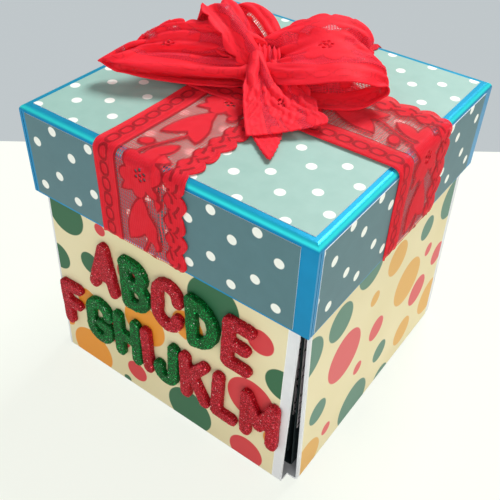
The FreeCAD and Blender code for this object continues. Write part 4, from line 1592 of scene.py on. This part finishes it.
@dataclass
class FoamLetters:
    """Die-cut foam letters, softened at their edges and coated with glitter chips."""

    red: bpy.types.Material
    green: bpy.types.Material
    red_chip: bpy.types.Material
    green_chip: bpy.types.Material
    green_letters: str = "BDGHJ"
    voxel: float = 0.3
    chip: float = 0.2
    chips_per_mm2: float = 2.8

    def scatter(self, chip: bpy.types.Material) -> bpy.types.NodeTree:
        """A tree that strews chips over a surface.

        Args:
            chip: The chips' material.

        Returns:
            The Geometry Nodes tree.
        """
        tree = bpy.data.node_groups.new("glitter_" + chip.name, "GeometryNodeTree")
        tree.interface.new_socket("Geometry", in_out="INPUT", socket_type="NodeSocketGeometry")
        for name in ("Per square metre", "Chip radius"):
            tree.interface.new_socket(name, in_out="INPUT", socket_type="NodeSocketFloat")
        tree.interface.new_socket("Seed", in_out="INPUT", socket_type="NodeSocketInt")
        tree.interface.new_socket("Geometry", in_out="OUTPUT", socket_type="NodeSocketGeometry")
        given = add_node(tree, "NodeGroupInput")
        strewn = add_node(
            tree,
            "GeometryNodeDistributePointsOnFaces",
            {
                "Mesh": given.outputs["Geometry"],
                "Density": given.outputs["Per square metre"],
                "Seed": given.outputs["Seed"],
            },
        )
        disc = add_node(
            tree,
            "GeometryNodeMeshCircle",
            {"Vertices": 6, "Radius": given.outputs["Chip radius"]},
            fill_type="NGON",
        )
        tilt = add_node(
            tree,
            "FunctionNodeRandomValue",
            {0: (-0.55, -0.55, -3.14), 1: (0.55, 0.55, 3.14), "Seed": given.outputs["Seed"]},
            data_type="FLOAT_VECTOR",
        )
        turned = add_node(
            tree,
            "FunctionNodeRotateRotation",
            {"Rotation": strewn.outputs["Rotation"], "Rotate By": tilt.outputs[0]},
            rotation_space="LOCAL",
        )
        size = add_node(
            tree,
            "FunctionNodeRandomValue",
            {2: 0.6, 3: 1.35, "Seed": given.outputs["Seed"]},
            data_type="FLOAT",
        )
        placed = add_node(
            tree,
            "GeometryNodeInstanceOnPoints",
            {
                "Points": strewn.outputs["Points"],
                "Instance": disc.outputs["Mesh"],
                "Rotation": turned.outputs[0],
                "Scale": size.outputs[1],
            },
        )
        real = add_node(tree, "GeometryNodeRealizeInstances", {0: placed.outputs[0]})
        dressed = add_node(tree, "GeometryNodeSetMaterial", {0: real.outputs[0], "Material": chip})
        both = add_node(tree, "GeometryNodeJoinGeometry")
        tree.links.new(given.outputs["Geometry"], both.inputs[0])
        tree.links.new(dressed.outputs[0], both.inputs[0])
        add_node(tree, "NodeGroupOutput", {0: both.outputs[0]})
        return tree

    def soften(self, node: bpy.types.Object, name: str) -> bpy.types.Object:
        """A copy of a letter's solid with the soft, slightly uneven edges of die-cut foam.

        Args:
            node: The CAD letter.
            name: The new piece's name.

        Returns:
            The new piece, still with its modifiers.
        """
        piece = new_mesh_object(name, node.data.copy())
        piece.data.materials.clear()
        weld = piece.modifiers.new("weld", "WELD")
        weld.merge_threshold = 0.01 * MM
        remesh = piece.modifiers.new("even", "REMESH")
        remesh.mode = "VOXEL"
        remesh.voxel_size = self.voxel * MM
        remesh.use_smooth_shade = True
        smooth = piece.modifiers.new("soften", "SMOOTH")
        smooth.factor = 0.6
        smooth.iterations = 5
        return piece

    def build(self) -> list[bpy.types.Object]:
        """Makes every letter.

        Returns:
            The letters, riding on the box.
        """
        trees = {chip.name: self.scatter(chip) for chip in (self.red_chip, self.green_chip)}
        made = []
        for node_name, node in sorted(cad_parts.items()):
            if not node_name.startswith("letter_"):
                continue
            green = node_name[-1] in self.green_letters
            foam, chip = (self.green, self.green_chip) if green else (self.red, self.red_chip)
            piece = self.soften(node, node_name.replace("letter", "foam"))
            piece.data.materials.append(foam)
            piece.data.materials.append(chip)
            glitter = piece.modifiers.new("glitter", "NODES")
            glitter.node_group = trees[chip.name]
            settings = {
                "Per square metre": self.chips_per_mm2 / MM**2,
                "Chip radius": self.chip * MM,
                "Seed": ord(node_name[-1]),
            }
            for socket in glitter.node_group.interface.items_tree:
                if socket.in_out == "INPUT" and socket.name in settings:
                    glitter[socket.identifier] = settings[socket.name]
            plain(piece)
            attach(piece, "box")
            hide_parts(node_name)
            made.append(piece)
        faces = sum(len(piece.data.polygons) for piece in made)
        log.info("foam letters: %d pieces, %d faces", len(made), faces)
        return made


def plain(piece: bpy.types.Object) -> None:
    """Turns a piece's live modifiers into its mesh.

    Args:
        piece: The piece to bake down.
    """
    graph = bpy.context.evaluated_depsgraph_get()
    mesh = bpy.data.meshes.new_from_object(
        piece.evaluated_get(graph), preserve_all_data_layers=True, depsgraph=graph
    )
    piece.modifiers.clear()
    piece.data = mesh
    mesh.name = piece.name


# ---------------------------------------------------------------- card and paper


@dataclass
class PaperBox:
    """The folded cards and the papers glued on them: the solids stay, each with its own finish."""

    green: str = "276440"
    red: str = "D4363C"
    orange: str = "ED982B"
    pale_green: str = "628B79"
    pale_red: str = "E06264"
    pale_orange: str = "E4B060"
    top_pitch: tuple[float, float] = (15.27, 15.4)
    top_second: tuple[float, float] = (7.4, -6.3)
    side_pitch: tuple[float, float] = (15.26, 16.3)
    side_second: tuple[float, float] = (7.2, -6.6)
    mirror: float = 9.0

    def front_spots(self) -> dict[str, Sequence[Spot]]:
        """Spots of the letters' wall, as (across, up, radius).

        Returns:
            Lists of spots by their ink.
        """
        return {
            self.orange: (
                (-8.8, 38.3, 9.2), (10.5, 49.5, 6.5), (26.5, 47.0, 2.3), (47.0, 19.9, 4.6),
                (-36.8, 32.7, 5.5), (-50.1, 16.0, 3.8), (-37.3, 6.6, 10.0),
            ),
            self.green: (
                (-42.6, 69.3, 8.4), (-49.6, 47.4, 5.7), (-33.0, 52.5, 4.6), (20.5, 65.6, 10.0),
                (47.5, 48.2, 6.4), (11.1, 8.0, 9.8), (25.9, 16.0, 2.4), (-19.5, 2.3, 1.8),
                (-8.0, 88.0, 7.0), (33.0, 92.0, 5.0),
            ),
            self.red: (
                (-26.4, 70.4, 2.4), (-14.3, 57.4, 5.5), (38.4, 61.2, 4.9), (36.6, 33.0, 9.3),
                (-22.3, 24.4, 6.0), (-14.1, 10.2, 4.7), (36.1, 5.4, 6.9), (-30.0, 90.0, 8.0),
                (10.0, 84.0, 4.0),
            ),
        }

    def right_spots(self) -> dict[str, Sequence[Spot]]:
        """Spots of the wall beside it, as (across, up, radius).

        Returns:
            Lists of spots by their ink.
        """
        return {
            self.pale_orange: (
                (4.1, 62.3, 6.7), (-9.6, 54.3, 3.0), (17.3, 42.1, 9.9), (21.9, 12.6, 6.5),
                (44.4, 14.7, 8.6), (-46.5, 7.6, 8.3), (-30.0, 90.0, 7.0),
            ),
            self.pale_green: (
                (-50.8, 61.1, 8.1), (-32.7, 62.3, 7.0), (-15.8, 72.8, 8.0), (27.0, 60.7, 4.9),
                (46.6, 62.6, 8.6), (-41.6, 28.3, 5.0), (2.3, 18.3, 4.8), (-15.3, 6.1, 10.0),
                (7.3, -1.0, 6.0), (12.0, 88.0, 6.0),
            ),
            self.pale_red: (
                (-27.0, 42.1, 10.2), (-4.4, 35.9, 5.0), (33.0, 46.9, 2.8), (44.0, 37.6, 5.0),
                (29.7, 28.6, 6.7), (-15.4, 25.4, 2.8), (-34.3, 11.4, 2.7), (35.0, 86.0, 8.0),
            ),
        }

    def dress(self) -> None:
        """Gives every carried solid its finish."""
        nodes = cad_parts
        white = Cardstock("white cardstock", "DADCE0", "ECEDEF").material()
        black = Cardstock("black cardstock", "18272A", "27383B", 0.65).material()
        blue = PearlCard().material()
        self.put(nodes["base_card"], white)
        self.put(nodes["second_layer_card"], black)
        self.put(nodes["third_layer_card"], black)
        self.put(nodes["lid_card"], blue)
        walls = {
            "front": self.front_spots(),
            "right": self.right_spots(),
            "back": self.mirrored(self.right_spots()),
            "left": self.mirrored(self.front_spots()),
        }
        for place, side in SIDE_OF.items():
            outer = SpottedPaper(f"spotted paper {place}", side, walls[place]).material()
            self.put(nodes[f"{place}_wall_paper"], outer)
            liner = FloralLinePaper(f"floral line paper {place}", side).material()
            self.put(nodes[f"{place}_wall_liner"], liner)
            for layer in ("second", "third"):
                self.put(nodes[f"{place}_{layer}_outer_mat"], liner)
                self.put(nodes[f"{place}_{layer}_inner_mat"], liner)
        self.put(nodes["floor_mat"], FloralLinePaper("floral line paper floor", Side.TOP).material())
        # The top paper and the lid's side papers are one dotted paper, written as a lit copy and a shaded
        # copy: the top much lighter, painted light standing in for the sheen it catches from above.
        top = DottedPaper(
            "dotted paper top", Side.TOP, "90B7AC", "A1C5BA", (-49.7, -35.5), self.top_pitch, self.top_second
        )
        self.put(nodes["lid_top_paper"], top.material())
        lattices = {
            "front": (-40.0, 102.6), "right": (-38.0, 103.6), "back": (-36.0, 102.9), "left": (-41.0, 102.2),
        }
        for place, origin in lattices.items():
            # Painted shade: the lid's side papers are the same paper as the top, written darker because they
            # lie in less light.
            paper = DottedPaper(
                f"dotted paper {place}",
                SIDE_OF[place],
                "487078",
                "517A82",
                origin,
                self.side_pitch,
                self.side_second,
            )
            self.put(nodes[f"{place}_lid_paper"], paper.material())
        log.info("card and paper: %d solids dressed", len(nodes))

    def mirrored(self, spots: dict[str, Sequence[Spot]]) -> dict[str, Sequence[Spot]]:
        """The same print cut from another part of the sheet.

        Args:
            spots: Lists of spots by their ink.

        Returns:
            The turned lists.
        """
        return {
            ink: [(self.mirror - across, up, radius) for across, up, radius in places]
            for ink, places in spots.items()
        }

    @staticmethod
    def put(node: bpy.types.Object, finish: bpy.types.Material) -> None:
        """Gives a solid one material."""
        node.data.materials.clear()
        node.data.materials.append(finish)


# ---------------------------------------------------------------- studio


@dataclass
class Studio:
    """Pale floor, grey backdrop, soft light and the camera."""

    target: Vector = field(default_factory=lambda: Vector((0.0359, -0.0571, 0.0982)))
    azimuth: float = 34.84
    elevation: float = 40.97
    roll: float = 2.37
    distance: float = 0.18130
    lens: float = 50.94
    table_edge: float = 0.1345
    table_turn: float = 36.87
    table_height: float = 0.5
    reach: float = 3.0
    aim_height: float = 0.06
    sky: str = "EEF2F4"
    sky_strength: float = 0.34

    def camera(self) -> None:
        """Creates the camera."""
        azimuth, elevation = math.radians(self.azimuth), math.radians(self.elevation)
        away = Vector(
            (
                math.sin(azimuth) * math.cos(elevation),
                -math.cos(azimuth) * math.cos(elevation),
                math.sin(elevation),
            )
        )
        data = bpy.data.cameras.new("camera")
        data.lens = self.lens
        data.sensor_width = 36
        data.clip_start = 0.01
        made = bpy.data.objects.new("camera", data)
        bpy.context.scene.collection.objects.link(made)
        turn = away.to_track_quat("Z", "Y").to_matrix().to_4x4()
        made.matrix_world = (
            Matrix.Translation(self.target + away * self.distance)
            @ turn
            @ Matrix.Rotation(math.radians(self.roll), 4, "Z")
        )
        bpy.context.scene.camera = made

    def lamp(self, name: str, place: Vector, size: float, power: float, tint: str) -> None:
        """Adds a square soft lamp aimed at the box.

        Args:
            name: The lamp's name.
            place: Where it hangs, metres.
            size: Its side, metres.
            power: Its power, watts.
            tint: Hex of its colour.
        """
        data = bpy.data.lights.new(name, "AREA")
        data.size = size
        data.energy = power
        data.color = linear(tint)[:3]
        made = bpy.data.objects.new(name, data)
        bpy.context.scene.collection.objects.link(made)
        aim = (place - Vector((0, 0, self.aim_height))).to_track_quat("Z", "Y")
        made.matrix_world = Matrix.Translation(place) @ aim.to_matrix().to_4x4()

    def paint(self, name: str, colour: str, own: float) -> bpy.types.Material:
        """A matt paint that keeps a share of its written colour whatever falls on it.

        Args:
            name: The material's name.
            colour: Hex of the colour.
            own: Share of the colour that the camera, a mirror or a glass sees unshaded.

        Returns:
            The material.
        """
        made = Finish(name, 0.9)
        made.shader.inputs["Specular IOR Level"].default_value = 0.0
        paint = made.finish(made.mottled(colour, colour, 40.0))
        path = add_node(made.tree, "ShaderNodeLightPath")
        seen = add_node(
            made.tree, "ShaderNodeMath", {0: path.outputs["Is Camera Ray"], 1: path.outputs["Is Glossy Ray"]}
        )
        through = add_node(
            made.tree, "ShaderNodeMath", {0: seen.outputs[0], 1: path.outputs["Is Transmission Ray"]}
        )
        share = add_node(made.tree, "ShaderNodeMath", {0: through.outputs[0], 1: own}, operation="MULTIPLY")
        glow = add_node(made.tree, "ShaderNodeEmission", {"Color": linear(colour), "Strength": 1.0})
        out = next(node for node in made.tree.nodes if node.bl_idname == "ShaderNodeOutputMaterial")
        mixed = add_node(
            made.tree,
            "ShaderNodeMixShader",
            {0: share.outputs[0], 1: made.shader.outputs[0], 2: glow.outputs[0]},
        )
        made.tree.links.new(mixed.outputs[0], out.inputs["Surface"])
        return paint

    def stage(self) -> None:
        """Lays the table, and the grey floor that shows beyond its far edge."""
        turn = Matrix.Rotation(math.radians(self.table_turn), 4, "Z")
        for name, far, height, colour, own in (
            ("table", self.table_edge, 0.0, "FCFFF6", 0.82),
            ("room_floor", self.reach, -self.table_height, "C3CACD", 0.95),
        ):
            corners = (
                (-self.reach, -self.reach), (self.reach, -self.reach), (self.reach, far), (-self.reach, far)
            )
            mesh = bpy.data.meshes.new(name)
            mesh.from_pydata([turn @ Vector((x, y, height)) for x, y in corners], [], [(0, 1, 2, 3)])
            made = new_mesh_object(name, mesh)
            made.data.materials.append(self.paint(name + " paint", colour, own))

    def light(self) -> None:
        """Hangs the lamps and sets the world."""
        self.lamp("window", Vector((0.0, 0.52, 0.82)), 0.35, 8.2, "FFFFFF")
        self.lamp("front fill", Vector((-0.2, -0.9, 0.5)), 0.9, 2.0, "F6FAFF")
        self.lamp("right fill", Vector((0.95, 0.15, 0.45)), 0.6, 1.2, "FFFBF4")
        self.lamp("corner fill", Vector((0.7, -0.75, 0.3)), 0.5, 3.3, "FFFBF4")
        world = bpy.data.worlds.new("studio")
        world.use_nodes = True
        shade = world.node_tree.nodes["Background"]
        shade.inputs["Color"].default_value = linear(self.sky)
        shade.inputs["Strength"].default_value = self.sky_strength
        bpy.context.scene.world = world
        bpy.context.scene.view_settings.view_transform = "Standard"

    def build(self) -> None:
        """Makes the whole studio."""
        self.camera()
        self.stage()
        self.light()


def main() -> None:
    """Builds the looks, piece by piece."""
    logging.basicConfig(level=logging.INFO, format="%(name)s: %(message)s")
    Studio().build()
    PaperBox().dress()
    lace = NylonLace("red nylon lace", low="F01428", high="FF3042", net="FF4A52").material()
    gathered = NylonLace(
        "red nylon lace, gathered",
        low="FA1226",
        high="FF2A3E",
        net="FF3048",
        glow="FF5064",
        rib=0.55,
        thread_cover=0.92,
        satin_cover=0.95,
        rib_share=0.5,
        cross_share=0.24,
        # outline: the painted shade on the bow's cords, kept near the lace's own red
        outline="F41C2E",
        relief=0.035,
    ).material()
    pattern = LacePattern()
    bands = [
        LaceBand(
            "front_back_band",
            "front_back_lace",
            along=Vector((0, -1, 0)),
            across=Vector((1, 0, 0)),
            shift=-4.5,
            pattern=pattern,
            ridges=((24.0, -4.0, 40.0, 1.1, 0.9),),
        ),
        LaceBand(
            "left_right_band",
            "left_right_lace",
            along=Vector((1, 0, 0)),
            across=Vector((0, 1, 0)),
            shift=3.9,
            pattern=pattern,
            seed=11,
        ),
    ]
    for band in bands:
        band.build(lace)
    LaceBow(pattern).build(gathered)
    FoamLetters(
        GlitterFoam("red glitter foam", "7A0614", "CC1426").material(),
        GlitterFoam("green glitter foam", "01300F", "046828").material(),
        GlitterFlake("red glitter chip", "EE5666").material(),
        GlitterFlake("green glitter chip", "24B85E").material(),
    ).build()


if __name__ == "__main__":
    main()
